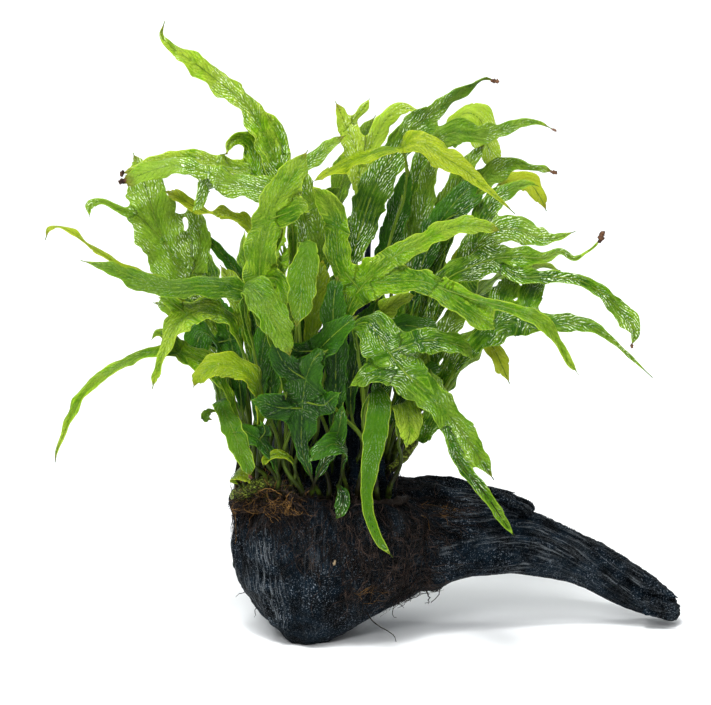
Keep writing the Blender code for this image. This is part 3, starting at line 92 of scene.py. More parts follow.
# Each frond: the (x, y) of its foot on a rhizome, its colour, and the points of its main rib as seen, each
# (x, z, y, half width of the blade there). A lobe is (where it leaves its parent rib, in points from its
# start; its own points; and, for a lobe of a lobe, the number of its parent lobe). "face" is the way the
# upper side looks, and "roll" how far, in degrees, the blade turns about its rib by the tip.
FRONDS = {
    "tall_left": {
        "foot": (-11, -9), "colour": "fresh", "roll": 25,
        "rib": [(-10, 100, -13, 1.1), (-8, 140, -17, 1.1), (-7, 165, -20, 2), (-10.5, 183, -22, 5),
                (-15.3, 198.5, -23, 5.4), (-20.5, 208, -24, 4.6), (-25.5, 216.3, -25, 3.8),
                (-36, 225, -26, 4.6), (-48, 234.2, -27, 4), (-56, 239.8, -28, 2), (-59.5, 244, -28, 0.9),
                (-58, 249.5, -28, 0)],
        "lobes": [(4.4, [(-11.5, 202.5, -18, 2.4), (-15, 209, -17, 2.6), (-18.5, 214, -17, 0)]),
                  (4, [(-15, 191, -18, 3.4), (-19, 199, -16, 2.6), (-21, 204, -15, 0)])],
    },
    "left_arch": {
        "foot": (-5.6, -27.1), "colour": "mid",
        "rib": [(-8, 82, -29, 1.1), (-6, 130, -34, 1.1), (-3, 158, -36, 1.8), (-5, 173, -37, 3.5),
                (-13, 180, -38, 5), (-22, 183, -40, 5.6), (-33, 185.5, -43, 5.4), (-44, 190, -46, 3.4),
                (-55, 192, -48, 3.8), (-66, 189, -50, 3.6), (-73.5, 186, -52, 2.6), (-75.5, 185.5, -52, 0)],
        "lobes": [(7.7, [(-43, 181, -45, 2.2), (-44.5, 177, -46, 2), (-47.5, 172.5, -47, 0)])],
    },
    "left_arch_upper": {
        "foot": (-18.8, -8.5), "colour": "fresh", "roll": -20,
        "rib": [(-18, 110, -13, 1.1), (-16, 150, -17, 1.1), (-13, 169, -20, 1.8), (-16.5, 180, -22, 2.8),
                (-22, 188, -23, 3), (-34, 192, -25, 2.8), (-44.5, 194.8, -27, 2.8), (-53, 195.3, -29, 2.6),
                (-62, 193.3, -31, 2.2), (-71, 190, -32, 1.6), (-75.5, 188.5, -32, 0)],
        "lobes": [(5, [(-22.5, 195, -21, 3.6), (-24.5, 201, -22, 3.4), (-29, 203, -25, 2.6),
                       (-32.5, 200, -27, 1.8), (-33.5, 196.5, -28, 0)])],
    },
    "beaded_left": {
        "foot": (-22.5, -7.8), "colour": "yellow",
        "rib": [(-25, 105, -9, 1.1), (-24, 145, -10, 1.1), (-22, 162, -11, 1.6), (-27, 170, -12, 3),
                (-30.5, 171.5, -13, 1.8), (-35, 173, -14, 2.8), (-40, 173, -15, 0.6),
                (-44.5, 174.5, -16, 2.2), (-49, 177, -17, 2.6), (-54, 180, -18, 2.4), (-59, 182, -18, 0)],
    },
    "left_fan": {
        "foot": (-25.3, 3.5), "colour": "mid",
        "rib": [(-29, 95, 0, 1.2), (-36, 122, -4, 1.4), (-42, 138, -8, 3.5), (-52.5, 151, -12, 8.8),
                (-60.5, 166, -15, 9.8), (-65.2, 181, -17, 7.6), (-68, 190, -18, 4), (-71, 197, -18, 0)],
        "lobes": [(3.6, [(-44, 158, -9, 4.2), (-45, 166, -8, 4), (-47, 173, -9, 2.8), (-49, 177, -10, 0)]),
                  (4.6, [(-69, 171.5, -18, 2.6), (-77, 174.5, -20, 1.4), (-83.5, 177.5, -21, 1.1),
                         (-88, 176, -22, 1.8), (-88.5, 171, -23, 0)])],
    },
    "far_left_thread": {
        "foot": (-26.8, 9), "colour": "yellow", "roll": 60,
        "rib": [(-33, 100, 7, 1.1), (-46, 128, 2, 2.4), (-60, 144, -3, 3), (-70, 149, -6, 2.4),
                (-77, 152.5, -8, 1.1), (-84, 157, -10, 1.6), (-90, 161, -11, 0.9), (-95, 165, -12, 2),
                (-101, 167.5, -13, 0.9), (-104, 167, -14, 1.6), (-106.5, 162, -15, 0)],
    },
    "left_strap": {
        "foot": (-9.3, -27), "colour": "mid",
        "rib": [(-12, 80, -30, 1.1), (-11.5, 115, -36, 1.2), (-14, 130, -40, 2), (-20, 138, -43, 4),
                (-30, 142.6, -47, 4.6), (-44, 143.7, -52, 4.0), (-58, 143.2, -56, 3.8),
                (-68, 146.2, -58, 4.2), (-78, 150.2, -60, 2.8), (-92, 154, -60, 0)],
    },
    "low_left_tail": {
        "foot": (-22.9, -22.9), "colour": "fresh", "roll": 40,
        "rib": [(-28, 84, -27, 1.1), (-33, 101, -33, 2), (-40, 112, -38, 4.8), (-49, 116, -41, 5),
                (-57, 118, -43, 2.4), (-66, 116.5, -45, 2.2), (-79, 110.5, -48, 2.3), (-89, 103, -50, 2.4),
                (-96, 92, -51, 2.5), (-99, 84, -52, 1.1), (-101.5, 78, -52, 1.4), (-102.5, 73, -52, 0)],
        "lobes": [(4.4, [(-56, 123, -38, 2.8), (-61, 125, -37, 2.2), (-64, 122, -37, 0)])],
    },
    "low_left_lobed": {
        "foot": (-19.8, -25), "colour": "fresh", "roll": 20,
        "rib": [(-22.5, 84, -31, 1.1), (-28, 120, -39, 1.3), (-34, 132, -44, 3.5), (-44, 134, -47, 5.5),
                (-52, 130, -49, 5), (-57, 122, -51, 3), (-60, 114, -52, 1.6), (-62, 108, -52, 1.8),
                (-63.5, 102.5, -53, 0)],
        "lobes": [(4.6, [(-54, 136, -46, 2.6), (-58, 138.5, -45, 2.2), (-61, 139, -45, 0)])],
    },
    "left_blunt": {
        "foot": (-16.4, -26), "colour": "yellow",
        "rib": [(-20, 78, -35, 1.1), (-20, 95, -43, 2), (-23, 107, -49, 4.5), (-31, 112, -52, 5),
                (-39, 111.5, -54, 4.5), (-45, 107, -55, 3), (-47, 103, -55, 0)],
    },
    "left_hanging": {
        "foot": (-26.8, -4.3), "colour": "fresh",
        "rib": [(-31.5, 80, -12, 1.1), (-34.5, 91, -20, 1.6), (-36.3, 98, -30, 2.4),
                (-34.8, 94.5, -39, 3.4), (-31, 86, -45, 3.8), (-27.4, 77, -47, 3.8), (-25, 71, -48, 2.4),
                (-24, 67, -48, 0)],
    },
    "young_leaf": {
        "foot": (-25.6, -20.2), "colour": "yellow",
        "rib": [(-28.5, 64.5, -26, 1.2), (-31, 67.5, -31, 2.6), (-27.5, 68.5, -36, 3.2),
                (-23.5, 64, -38, 0)],
    },
    "centre_bright": {
        "foot": (-1.4, -27.2), "colour": "fresh", "roll": 15,
        "rib": [(-7, 90, -36, 1.1), (-14, 120, -46, 2), (-20, 140, -51, 5.5), (-20, 156, -54, 6),
                (-17, 170, -55, 5.5), (-11, 182, -56, 6), (-6, 190, -57, 4.5), (-1, 198, -57, 0)],
        "lobes": [(5, [(-9, 173, -59, 4), (-4, 175, -61, 3.5), (0, 173, -62, 0)]),
                  (3.4, [(-13, 146, -56, 3.6), (-11, 140, -58, 3), (-9.5, 135, -58, 0)])],
    },
    "nodding_centre": {
        "foot": (18.4, -25.7), "colour": "fresh",
        "rib": [(17, 78, -31.5, 1.1), (10, 91, -38.5, 1.1), (1, 104, -43, 1.1), (-4, 128, -46, 1.2),
                (-5, 150, -50, 1.4), (-3, 161, -55, 1.8), (-1, 160, -62, 3.4), (-3, 148, -66, 5.4),
                (-4, 137, -66, 4.6), (-6, 126, -66, 0)],
    },
    "olive_hanging": {
        "foot": (-13, -26.6), "colour": "mid",
        "rib": [(-16.5, 80, -32.5, 1.1), (-23, 118, -44, 1.3), (-27, 134, -55, 2.5), (-25, 144, -62, 5),
                (-19, 139, -66, 6), (-14, 129, -68, 5.6), (-10, 121, -69, 3.5), (-8, 115, -69, 0)],
    },
    "low_fan": {
        "foot": (4.2, -27.1), "colour": "dark",
        "rib": [(0, 68, -35, 1.3), (-3.5, 79, -40, 2.5), (-3.5, 90, -44, 6), (-3, 99, -47, 8),
                (-1, 109, -50, 6), (3, 116, -53, 2.5), (7, 118, -54, 0)],
        "lobes": [(3.5, [(-13, 95, -51, 5.5), (-19, 97, -55, 4), (-24, 98, -57, 0)]),
                  (3.8, [(5.5, 96, -50, 4), (9, 99, -53, 2.8), (12, 101, -54, 0)]),
                  (4.7, [(-9, 111, -53, 4.5), (-13, 117, -56, 3.5), (-15, 123, -57, 0)])],
    },
    "dark_strap": {
        "foot": (7.8, -27), "colour": "dark",
        "rib": [(9, 85, -33, 1.2), (10, 103, -39, 4), (10, 120, -42, 4.6), (9, 134, -43, 4.6),
                (10, 143, -44, 3.2), (11, 148, -44, 0)],
    },
    "low_dark": {
        "foot": (15.2, -26.2), "colour": "dark",
        "rib": [(13, 71, -35, 1.3), (14.5, 78, -41, 3.8), (9, 80.5, -45, 4.8), (3, 77, -48, 3),
                (-1, 73, -49, 0)],
    },
    "centre_fan": {
        "foot": (11.2, -26.7), "colour": "fresh",
        "rib": [(13.5, 82, -28.5, 1.1), (13, 118, -33, 1.2), (15, 134, -36, 3), (20, 143, -39, 7),
                (27, 150, -42, 6), (35, 156.5, -44, 4), (44, 161, -46, 3.6), (53, 166, -47, 3.6),
                (62, 168, -48, 3.6), (72, 167, -47, 2), (76, 166, -47, 0)],
        "lobes": [(4.2, [(33, 145.5, -45, 5), (44, 145.6, -49, 4.2), (56, 141.6, -52, 3),
                         (66, 138.2, -54, 2), (75, 136, -56, 1.8), (83, 133.8, -57.4, 2.4),
                         (89.5, 131, -58, 3), (95.5, 126.6, -59, 3), (99.3, 121, -59, 1.4),
                         (103, 114, -60, 1.6), (107.5, 108, -60, 0)]),
                  (3.9, [(12, 152, -37, 4.5), (10.5, 161, -37, 4.8), (10, 170, -39, 4.6), (6, 178, -41, 4),
                         (0, 184, -44, 0)]),
                  (2.6, [(65, 133, -54, 4.4), (70, 129.5, -54, 4.2), (74, 126, -54, 0)], 0)],
    },
    "tall_right": {
        "foot": (4, -8), "colour": "mid", "roll": 110,
        "rib": [(6, 100, -13, 1.1), (9, 130, -18, 1.2), (15, 150, -21, 3), (20, 166, -23, 5.5),
                (25, 181, -24, 6.4), (32, 194, -25, 5.5), (38, 203, -25, 5.5), (45.5, 210, -24, 5.4),
                (52.5, 215.5, -23, 3), (59, 220.5, -22, 2.8), (65, 224, -21, 2.4), (70, 226.3, -20, 1.6),
                (74, 225.5, -20, 0)],
    },
    "pale_fork": {
        "foot": (10, -7.7), "colour": "fresh",
        "rib": [(12, 100, -9, 1.1), (15, 135, -9, 1.1), (18, 162, -10, 1.4), (20, 180, -12, 2.4),
                (19.5, 190, -13, 4.8), (18, 199, -14, 5), (14.5, 207, -15, 3.6), (12, 213, -16, 2),
                (10, 217.5, -16, 0)],
        "lobes": [(5, [(26, 203, -11, 3.6), (30, 210, -10, 3.2), (36, 214.5, -9, 2.6), (44, 214, -8, 0)]),
                  (7, [(18, 211, -14, 1.3), (21.5, 215, -13, 1.6), (24, 219, -13, 0)])],
    },
    "yellow_strap": {
        "foot": (15, -7.5), "colour": "yellow",
        "rib": [(19, 100, -9, 1.1), (27, 140, -12, 1.1), (33, 165, -18, 1.1), (37, 180, -25, 1.4),
                (38, 192, -33, 3), (37, 199.5, -39, 4.4), (44, 201, -43, 4.8), (53, 195.5, -45, 4.8),
                (62, 190, -45, 3.6), (70, 183, -45, 1.6), (76, 178, -45, 0.8), (82, 172.5, -44, 0)],
        "lobes": [(6, [(29, 198.5, -40, 4), (21, 195.5, -38, 4.8), (12, 192, -34, 4.2), (5, 188, -31, 2.4),
                       (1, 185.5, -30, 0)])],
    },
    "right_pointed": {
        "foot": (22.8, -6.6), "colour": "mid", "roll": 30,
        "rib": [(29, 100, -4, 1.1), (34, 140, -3, 1.1), (38, 170, -3, 1.3), (42, 188, -3, 3),
                (48, 200, -4, 5), (57, 205, -5, 5.4), (68, 204.5, -6, 4), (78, 206.5, -8, 2.6),
                (85, 209, -9, 1.8), (91, 209, -10, 0.8), (97.5, 206, -10, 0)],
    },
    "right_loop": {
        "foot": (31.6, 25.5), "colour": "fresh",
        "rib": [(36, 100, 28, 1.1), (41, 140, 27, 1.1), (46, 175, 23, 1.6), (52, 198, 17, 2.2),
                (57, 209, 14, 2.6), (63, 213, 12, 4), (68, 210, 11, 6), (70, 203, 10, 6), (72, 196, 9, 4),
                (74, 190, 9, 2), (74.5, 187, 9, 0)],
    },
    "right_curled": {
        "foot": (35, 7.3), "colour": "mid", "roll": 50,
        "rib": [(40, 100, 8, 1.1), (47, 130, 6, 1.1), (54, 158, 5, 1.4), (60, 174, 4, 3), (67, 184, 3, 4.4),
                (75, 190, 2, 4.4), (82, 192.5, 1, 2.6), (88, 191, 0, 1.2), (93, 190.5, 0, 1.4),
                (97.5, 189, 0, 0)],
    },
    "right_bright": {
        "foot": (28.5, 30.5), "colour": "yellow",
        "rib": [(36, 100, 35, 1.1), (48, 135, 33, 1.1), (61, 160, 28, 1.4), (73, 176, 22, 3),
                (80, 185, 18, 4.4), (87, 185, 16, 4.2), (92, 179, 14, 2.6), (94.5, 173.5, 13, 0)],
    },
    "right_dark": {
        "foot": (30.8, -5.5), "colour": "dark",
        "rib": [(35, 95, -8, 1.1), (40, 130, -10, 1.2), (44, 150, -11, 3), (49, 165, -12, 5),
                (56, 175, -12, 5.2), (63, 182.5, -12, 3.4), (70, 187.5, -12, 0)],
        "lobes": [(3.3, [(54, 170, -15, 3), (61, 174, -17, 2.6), (66, 178, -18, 1.8), (70, 181, -18, 0)])],
    },
    "right_silver": {
        "foot": (37.5, -7.4), "colour": "mid",
        "rib": [(44, 95, -15, 1.1), (47, 118, -19, 1.1), (49, 136, -22, 1.8), (54, 146, -25, 4.5),
                (63, 151, -27, 6), (73, 154.5, -29, 5.6), (83, 155.5, -30, 4.2), (93, 155, -31, 2.6),
                (101, 157.5, -31, 1.3), (105.5, 154.5, -31, 1), (110, 157, -31, 0.5), (114, 160, -31, 0.5),
                (116.5, 163.5, -31, 0)],
        "lobes": [(6, [(84, 147.6, -32, 3), (94.6, 147.4, -34, 2.6), (107.4, 146, -36, 2.2),
                       (117.2, 140.5, -37, 2.8), (123.2, 134.7, -38, 3.6), (127.6, 129.9, -39, 4.2),
                       (129.8, 124.8, -40, 2.2), (128.5, 119.5, -40, 0)])],
    },
    "right_lobed": {
        "foot": (41, -8.2), "colour": "mid",
        "rib": [(50, 94, -20, 1.1), (55, 105, -25, 1.1), (60, 113, -28, 1.6), (65, 119, -30, 4),
                (73, 127, -32, 7), (82, 130, -34, 6.5), (92, 129.2, -36, 4.2), (103, 129, -38, 3.4),
                (112, 127.6, -39, 2.8), (119, 123.3, -40, 1.2), (127, 116.2, -41, 0.8), (137, 107, -41, 0)],
        "lobes": [(5, [(76.5, 139, -27, 4.4), (79, 144.5, -23, 4.6), (80, 148.5, -20, 0)]),
                  (6.3, [(88, 140, -29, 4.2), (90, 145, -24, 4.2), (90.5, 149, -21, 0)])],
    },
    "drooping_right": {
        "foot": (26, -23.8), "colour": "mid",
        "rib": [(23, 92, -30, 1.1), (19, 116, -37, 1.2), (18, 128, -42, 2.6), (23, 129, -47, 6.5),
                (30, 119, -51, 8.5), (38, 109, -54, 7.5), (48.5, 99, -57, 5.6), (59.5, 87, -59, 4.8),
                (68, 74.5, -60, 3.4), (73.5, 66, -60, 0)],
        "lobes": [(6, [(27, 109, -54, 4.2), (21, 107, -53, 3.4), (15, 103, -52, 0)]),
                  (7.4, [(59.5, 73.5, -61, 2.2), (70, 60.5, -63, 2.2), (77, 50, -64, 1.7),
                         (82, 43, -64, 0)]),
                  (5.2, [(46, 122, -49, 5), (56, 121, -46, 4.4), (63, 118, -44, 2.6), (65, 113, -43, 0)])],
    },
    "hanging_strap": {
        "foot": (21.9, -25), "colour": "fresh",
        "rib": [(20, 84, -32, 1.1), (22, 97, -38, 1.6), (26, 102, -43, 3), (27.5, 96, -48, 4.4),
                (26, 85, -51, 4.6), (24, 72, -53, 3.4), (22.5, 60, -54, 2.2), (24, 50, -55, 2),
                (28, 41, -56, 1.6), (33, 35, -56, 0)],
    },
    "low_right_curl": {
        "foot": (31, -21.5), "colour": "fresh",
        "rib": [(35, 80, -28, 1.2), (36, 94, -36, 2), (37, 97, -42, 4), (39, 92, -46, 5.4),
                (39.5, 84, -48, 3.4), (38, 78, -48, 0)],
    },
    "right_wide": {
        "foot": (34, -6.4), "colour": "mid",
        "rib": [(41, 100, -9, 1.1), (48, 126, -12, 1.2), (55, 142, -15, 2.6), (61, 152, -18, 4.6),
                (68, 161, -20, 6), (75, 166, -22, 5.6), (84, 166, -24, 5), (92, 163, -26, 3.6),
                (98, 163, -27, 1.8), (106, 165.6, -27, 0)],
        "lobes": [(4.6, [(70, 173, -17, 4.4), (76, 180, -16, 4), (84, 184, -15, 2), (89, 184.5, -15, 0.8),
                         (91.5, 183.5, -15, 0)])],
    },
    "shade_left": {
        "foot": (-27.6, -15.6), "colour": "dark",
        "rib": [(-30, 88, -17.5, 1.1), (-33, 110, -19, 2), (-38, 122, -21, 4.4), (-43, 125, -25, 5.5),
                (-46, 118, -28, 5), (-45, 110, -29, 0)],
    },
    "inner_yellow": {
        "foot": (-1, -8.4), "colour": "yellow",
        "rib": [(1, 95, -14, 1.1), (0, 120, -20, 2.2), (2, 137, -24, 4.5), (4, 148, -26, 3.4),
                (5, 155, -26, 0)],
    },
    "dark_right": {
        "foot": (26.8, -5.9), "colour": "dark",
        "rib": [(27, 90, -14, 1.1), (27, 112, -22, 1.2), (30, 124, -30, 3), (38, 128, -35, 5),
                (46, 126, -38, 4.6), (52, 122, -39, 0)],
    },
    "yellow_oval": {
        "foot": (34.5, 12), "colour": "yellow",
        "rib": [(40, 100, 13, 1.1), (46, 128, 13, 1.1), (50, 142, 12, 2.8), (52, 150, 12, 3.4),
                (53, 157, 12, 0)],
    },
    "thin_top": {
        "foot": (-6.5, -8.9), "colour": "mid",
        "rib": [(-4, 100, -10, 1.1), (-6, 140, -12, 1.1), (-7, 175, -16, 2), (-4, 190, -18, 3),
                (3, 196, -19, 3.2), (10, 201.5, -20, 2), (14, 204, -20, 0)],
    },
    "inner_right": {
        "foot": (33.9, 16.5), "colour": "mid",
        "rib": [(34, 96, 20, 1.1), (33, 118, 20, 1.6), (36, 128, 19, 3.6), (43, 137, 19, 4),
                (50, 144, 19, 2.4), (54, 147, 19, 0)],
    },
    "pale_inner": {
        "foot": (19, -7.2), "colour": "fresh",
        "rib": [(21, 95, -12, 1.1), (20, 115, -18, 1.4), (24, 128, -23, 3.4), (31, 135, -26, 4.2),
                (38, 139, -28, 2.5), (42, 140, -28, 0)],
    },
    "rolled_left": {
        "foot": (-26.8, 15.5), "colour": "dark",
        "rib": [(-27, 100, 12, 1.1), (-24, 130, 6, 1.4), (-28, 147, 2, 2.4), (-35, 156, -1, 2.2),
                (-41, 162, -3, 1.8), (-44.5, 165, -4, 0)],
    },
    "back_left": {
        "foot": (-25, 23), "colour": "mid", "face": FACE_AWAY,
        "rib": [(-28, 95, 36, 1.1), (-38, 120, 46, 2), (-50, 138, 54, 6), (-58, 152, 60, 6.5),
                (-61, 166, 64, 5), (-60, 178, 66, 0)],
        "lobes": [(3, [(-40, 146, 60, 4.2), (-42, 154, 66, 3), (-44, 160, 70, 0)])],
    },
    "back_low_left": {
        "foot": (-21, 31.5), "colour": "mid", "face": FACE_AWAY,
        "rib": [(-22, 80, 40, 1.1), (-32, 98, 60, 3.6), (-38, 108, 76, 6), (-40, 110, 90, 5),
                (-39, 106, 100, 0)],
    },
    "back_mid_left": {
        "foot": (-13, 37.3), "colour": "fresh", "face": FACE_AWAY,
        "rib": [(-12, 95, 48, 1.1), (-14, 125, 58, 3), (-16, 145, 66, 7), (-16, 163, 74, 6.5),
                (-13, 178, 80, 4), (-10, 188, 84, 0)],
        "lobes": [(3, [(-25, 152, 72, 4), (-27, 159, 78, 3), (-26, 166, 82, 0)]),
                  (3.3, [(-6, 158, 76, 4), (0, 168, 82, 3.4), (3, 176, 86, 0)])],
    },
    "back_tall": {
        "foot": (-5, 39.3), "colour": "mid", "face": FACE_AWAY,
        "rib": [(-2, 100, 50, 1.1), (2, 140, 58, 1.2), (8, 170, 62, 3), (14, 190, 66, 6), (20, 203, 68, 5),
                (26, 212, 69, 0)],
    },
    "back_mid": {
        "foot": (4, 40), "colour": "mid", "face": FACE_AWAY,
        "rib": [(6, 95, 52, 1.1), (9, 125, 64, 3), (12, 145, 74, 6.5), (14, 160, 84, 6), (12, 172, 92, 3.5),
                (9, 180, 97, 0)],
        "lobes": [(3, [(21, 138, 74, 4), (27, 139, 82, 3.4), (33, 137, 88, 0)])],
    },
    "back_low_mid": {
        "foot": (11.5, 39.4), "colour": "dark", "face": FACE_AWAY,
        "rib": [(11, 80, 50, 1.1), (5, 97, 72, 4.6), (0, 104, 88, 6.5), (-3, 103, 100, 4),
                (-5, 98, 108, 0)],
    },
    "back_right": {
        "foot": (19, 37.4), "colour": "mid", "face": FACE_AWAY,
        "rib": [(28, 95, 48, 1.1), (36, 122, 58, 2.4), (46, 140, 66, 6.5), (58, 152, 72, 7),
                (70, 160, 76, 5), (80, 163, 78, 0)],
        "lobes": [(3.6, [(48, 158, 70, 4.4), (52, 169, 74, 3.6), (56, 179, 76, 0)]),
                  (4.2, [(66, 142, 76, 4), (74, 138, 80, 3), (80, 132, 82, 0)])],
    },
    "back_low_right": {
        "foot": (24.5, 34.8), "colour": "fresh", "face": FACE_AWAY,
        "rib": [(29, 84, 44, 1.1), (40, 99, 64, 3.8), (46, 110, 80, 6), (48, 118, 92, 5),
                (49, 122, 100, 0)],
    },
    "side_right": {
        "foot": (33.1, 20.5), "colour": "fresh", "face": FACE_AWAY,
        "rib": [(50, 95, 24, 1.1), (58, 125, 32, 2), (68, 142, 40, 5.5), (80, 150, 48, 5), (92, 152, 54, 3),
                (100, 150, 58, 0)],
    },
}
# Smaller fronds that fill the crown, each joined to one that reaches further: (that frond, foot, main rib,
# and any lobes), as in FRONDS. They have its colour and face its way.
INNER_FRONDS = [
    ("shade_left", (-24, -8),
     [(-27, 90, -14, 1.1), (-29, 108, -17, 3), (-32, 122, -19, 4.5), (-35, 133, -20, 3.5),
      (-37, 141, -20, 0)],
     (3, [(-37, 121, -20, 2.6), (-42, 120, -20, 0)])),
    ("shade_left", (-17, -9),
     [(-19, 85, -16, 1.1), (-21, 100, -20, 3), (-20, 112, -22, 4.5), (-18, 124, -23, 4),
      (-16, 134, -23, 0)]),
    ("thin_top", (-3, -8.6),
     [(-1, 110, -14, 1.1), (3, 140, -20, 2), (4, 158, -24, 4), (2, 172, -27, 4.5), (-2, 184, -29, 3),
      (-4, 193, -30, 0)],
     (4.2, [(8, 180, -27, 2.6), (13, 184, -27, 0)])),
    ("right_dark", (20, -7),
     [(24, 110, -7, 1.1), (27, 140, -9, 2.2), (31, 158, -11, 4.6), (35, 174, -13, 4.6), (38, 186, -14, 2.6),
      (39, 192, -14, 0)]),
    ("tall_right", (24, -6.5),
     [(31, 110, -5, 1.1), (37, 140, -5, 2), (42, 160, -6, 4.2), (45, 175, -7, 4.6), (47, 188, -8, 3),
      (48, 196, -8, 0)]),
    ("right_curled", (33, 2),
     [(40, 110, 2, 1.1), (46, 140, 0, 1.8), (51, 160, -1, 3.6), (55, 175, -2, 5), (60, 187, -3, 4),
      (66, 196, -4, 2.4), (70, 201, -4, 0)],
     (5, [(60, 178, -1, 3), (64, 182, 0, 0)])),
    ("right_wide", (35.8, -6.5),
     [(44, 95, -12, 1.1), (49, 112, -16, 2), (52, 122, -19, 4.5), (57, 130, -21, 4.5), (63, 136, -22, 2.5),
      (67, 139, -22, 0)]),
    ("right_lobed", (39.5, -8),
     [(47, 90, -15, 1.1), (50, 100, -18, 1.8), (55, 110, -21, 3.6), (60, 120, -23, 4), (66, 127, -24, 0)]),
    ("low_fan", (-2, -27.2),
     [(0, 82, -33, 1.1), (-3, 104, -40, 2), (1, 115, -46, 5), (8, 123, -50, 5.5), (15, 129, -52, 3.4),
      (19, 132, -53, 0)],
     (3.3, [(-6, 118, -48, 3), (-11, 122, -49, 0)])),
    ("dark_strap", (14, -7.8),
     [(15, 90, -16, 1.2), (17, 108, -22, 3), (20, 120, -26, 5), (24, 130, -29, 5), (27, 139, -31, 0)]),
    ("low_dark", (22, -7),
     [(24, 84, -16, 1.1), (27, 97, -22, 2.6), (30, 108, -27, 4.6), (35, 115, -30, 4), (41, 118, -32, 0)]),
    ("olive_hanging", (-6, -8.8),
     [(-8, 92, -16, 1.1), (-10, 112, -24, 2.4), (-12, 126, -30, 5), (-14, 138, -34, 5.5),
      (-15, 150, -36, 4), (-15, 160, -37, 0)]),
    ("rolled_left", (-24, 20),
     [(-25, 90, 18, 1.1), (-24, 115, 12, 2.4), (-21, 130, 6, 5), (-18, 142, 2, 4.5), (-16, 150, 0, 0)]),
    ("low_fan", (-12, -26.7),
     [(-13, 68, -34, 1.2), (-17, 78, -39, 2.6), (-23, 84, -43, 3.8), (-28, 86, -45, 2.4),
      (-31, 85, -46, 0)],
     (2.6, [(-18, 85, -42, 2.2), (-20, 90, -44, 0)])),
    ("low_dark", (1, -27.2),
     [(2, 66, -34, 1.2), (6, 74, -38, 2.2), (10, 82, -41, 3.4), (12, 90, -43, 2.8), (13, 97, -44, 0)]),
    ("left_blunt", (-9, -27),
     [(-6, 70, -33, 1.1), (-9, 75.5, -36, 1.5), (-14, 76.5, -38, 1.8), (-18, 74, -39, 1.6),
      (-19, 71, -39, 0)]),
    ("low_dark", (12, -26.5),
     [(11, 64, -32, 1.1), (13, 60, -34.5, 2.4), (12, 54, -35, 2.6), (10, 50, -34.5, 0)]),
    ("inner_right", (34, 12),
     [(36, 80, 8, 1.1), (38, 96, 2, 2.4), (40, 106, -4, 4.6), (44, 114, -8, 4.6), (49, 120, -10, 0)]),
    ("right_pointed", (28, -6),
     [(33, 110, 2, 1.1), (37, 140, 6, 2), (40, 160, 8, 5), (44, 178, 9, 5), (50, 190, 10, 0)]),
    ("left_fan", (-27, 0),
     [(-30, 90, -3, 1.1), (-36, 112, -5, 2.6), (-42, 124, -8, 5), (-50, 132, -10, 5), (-58, 136, -11, 3),
      (-63, 137, -11, 0)]),
    ("left_arch_upper", (-20, -8.3),
     [(-22, 105, -10, 1.1), (-26, 126, -13, 2), (-29, 138, -16, 4), (-33, 147, -18, 3.4),
      (-36, 152, -19, 0)]),
    ("dark_right", (30, -5.7),
     [(32, 85, -14, 1.1), (36, 98, -20, 3), (42, 106, -25, 4.5), (49, 110, -28, 3), (54, 111, -29, 0)]),
    ("back_mid", (0, 40),
     [(-3, 85, 46, 1.1), (-8, 110, 56, 3.4), (-10, 128, 62, 5.5), (-9, 142, 66, 4), (-8, 150, 68, 0)]),
    ("back_right", (15, 39),
     [(20, 85, 46, 1.1), (24, 110, 54, 3), (26, 130, 60, 6), (24, 146, 64, 4.5), (20, 157, 66, 0)]),
    ("back_left", (-26, 14),
     [(-32, 85, 22, 1.1), (-38, 105, 28, 4), (-43, 118, 34, 5), (-48, 126, 38, 3.4), (-52, 131, 40, 0)]),
    ("shade_left", (-14, -9),
     [(-15.5, 84, -17, 1.1), (-16.5, 96, -19, 3.4), (-15.5, 108, -21, 5), (-14, 120, -22, 4),
      (-12, 130, -22, 0)]),
    ("dark_strap", (-2, -8.4),
     [(-3, 90, -15, 1.1), (-3.5, 106, -17, 3), (-3, 120, -19, 4.6), (-2, 132, -20, 3.6), (0, 142, -20, 0)]),
    ("drooping_right", (41, -8),
     [(43.5, 81, -14, 1.4), (46, 85, -20, 3), (49, 90, -26, 4.6), (51, 97, -32, 5), (50, 104, -38, 3),
      (48, 110, -42, 0)]),
    ("left_hanging", (-27, -3),
     [(-31, 85, -14, 1.1), (-34, 91, -18, 1.1), (-38, 93.8, -20, 1.1), (-41, 93.2, -21, 2.1),
      (-41.5, 90.6, -21, 2.1), (-39.5, 90, -21, 0)]),
    ("right_bright", (34, 18),
     [(44, 100, 8, 1.1), (58, 119, -6, 1.1), (68, 124, -14, 1.5), (73, 119, -18, 3.2),
      (76.5, 112, -19, 3.2), (79.8, 104.5, -19, 0)]),
    ("side_right", (34, 10),
     [(44, 85, 12, 1.1), (56, 105, 16, 3.6), (66, 118, 20, 5.5), (76, 124, 24, 4), (84, 125, 26, 0)]),
]


def seen(x, z, y):
    """The point at depth y that the viewer sees at (x, z) on the plane through the origin."""
    on_plane = Vector((x, 0, 0)) + UP * (z + FRONT_EDGE)
    return EYE + (on_plane - EYE) * ((y - EYE.y) / (on_plane.y - EYE.y))


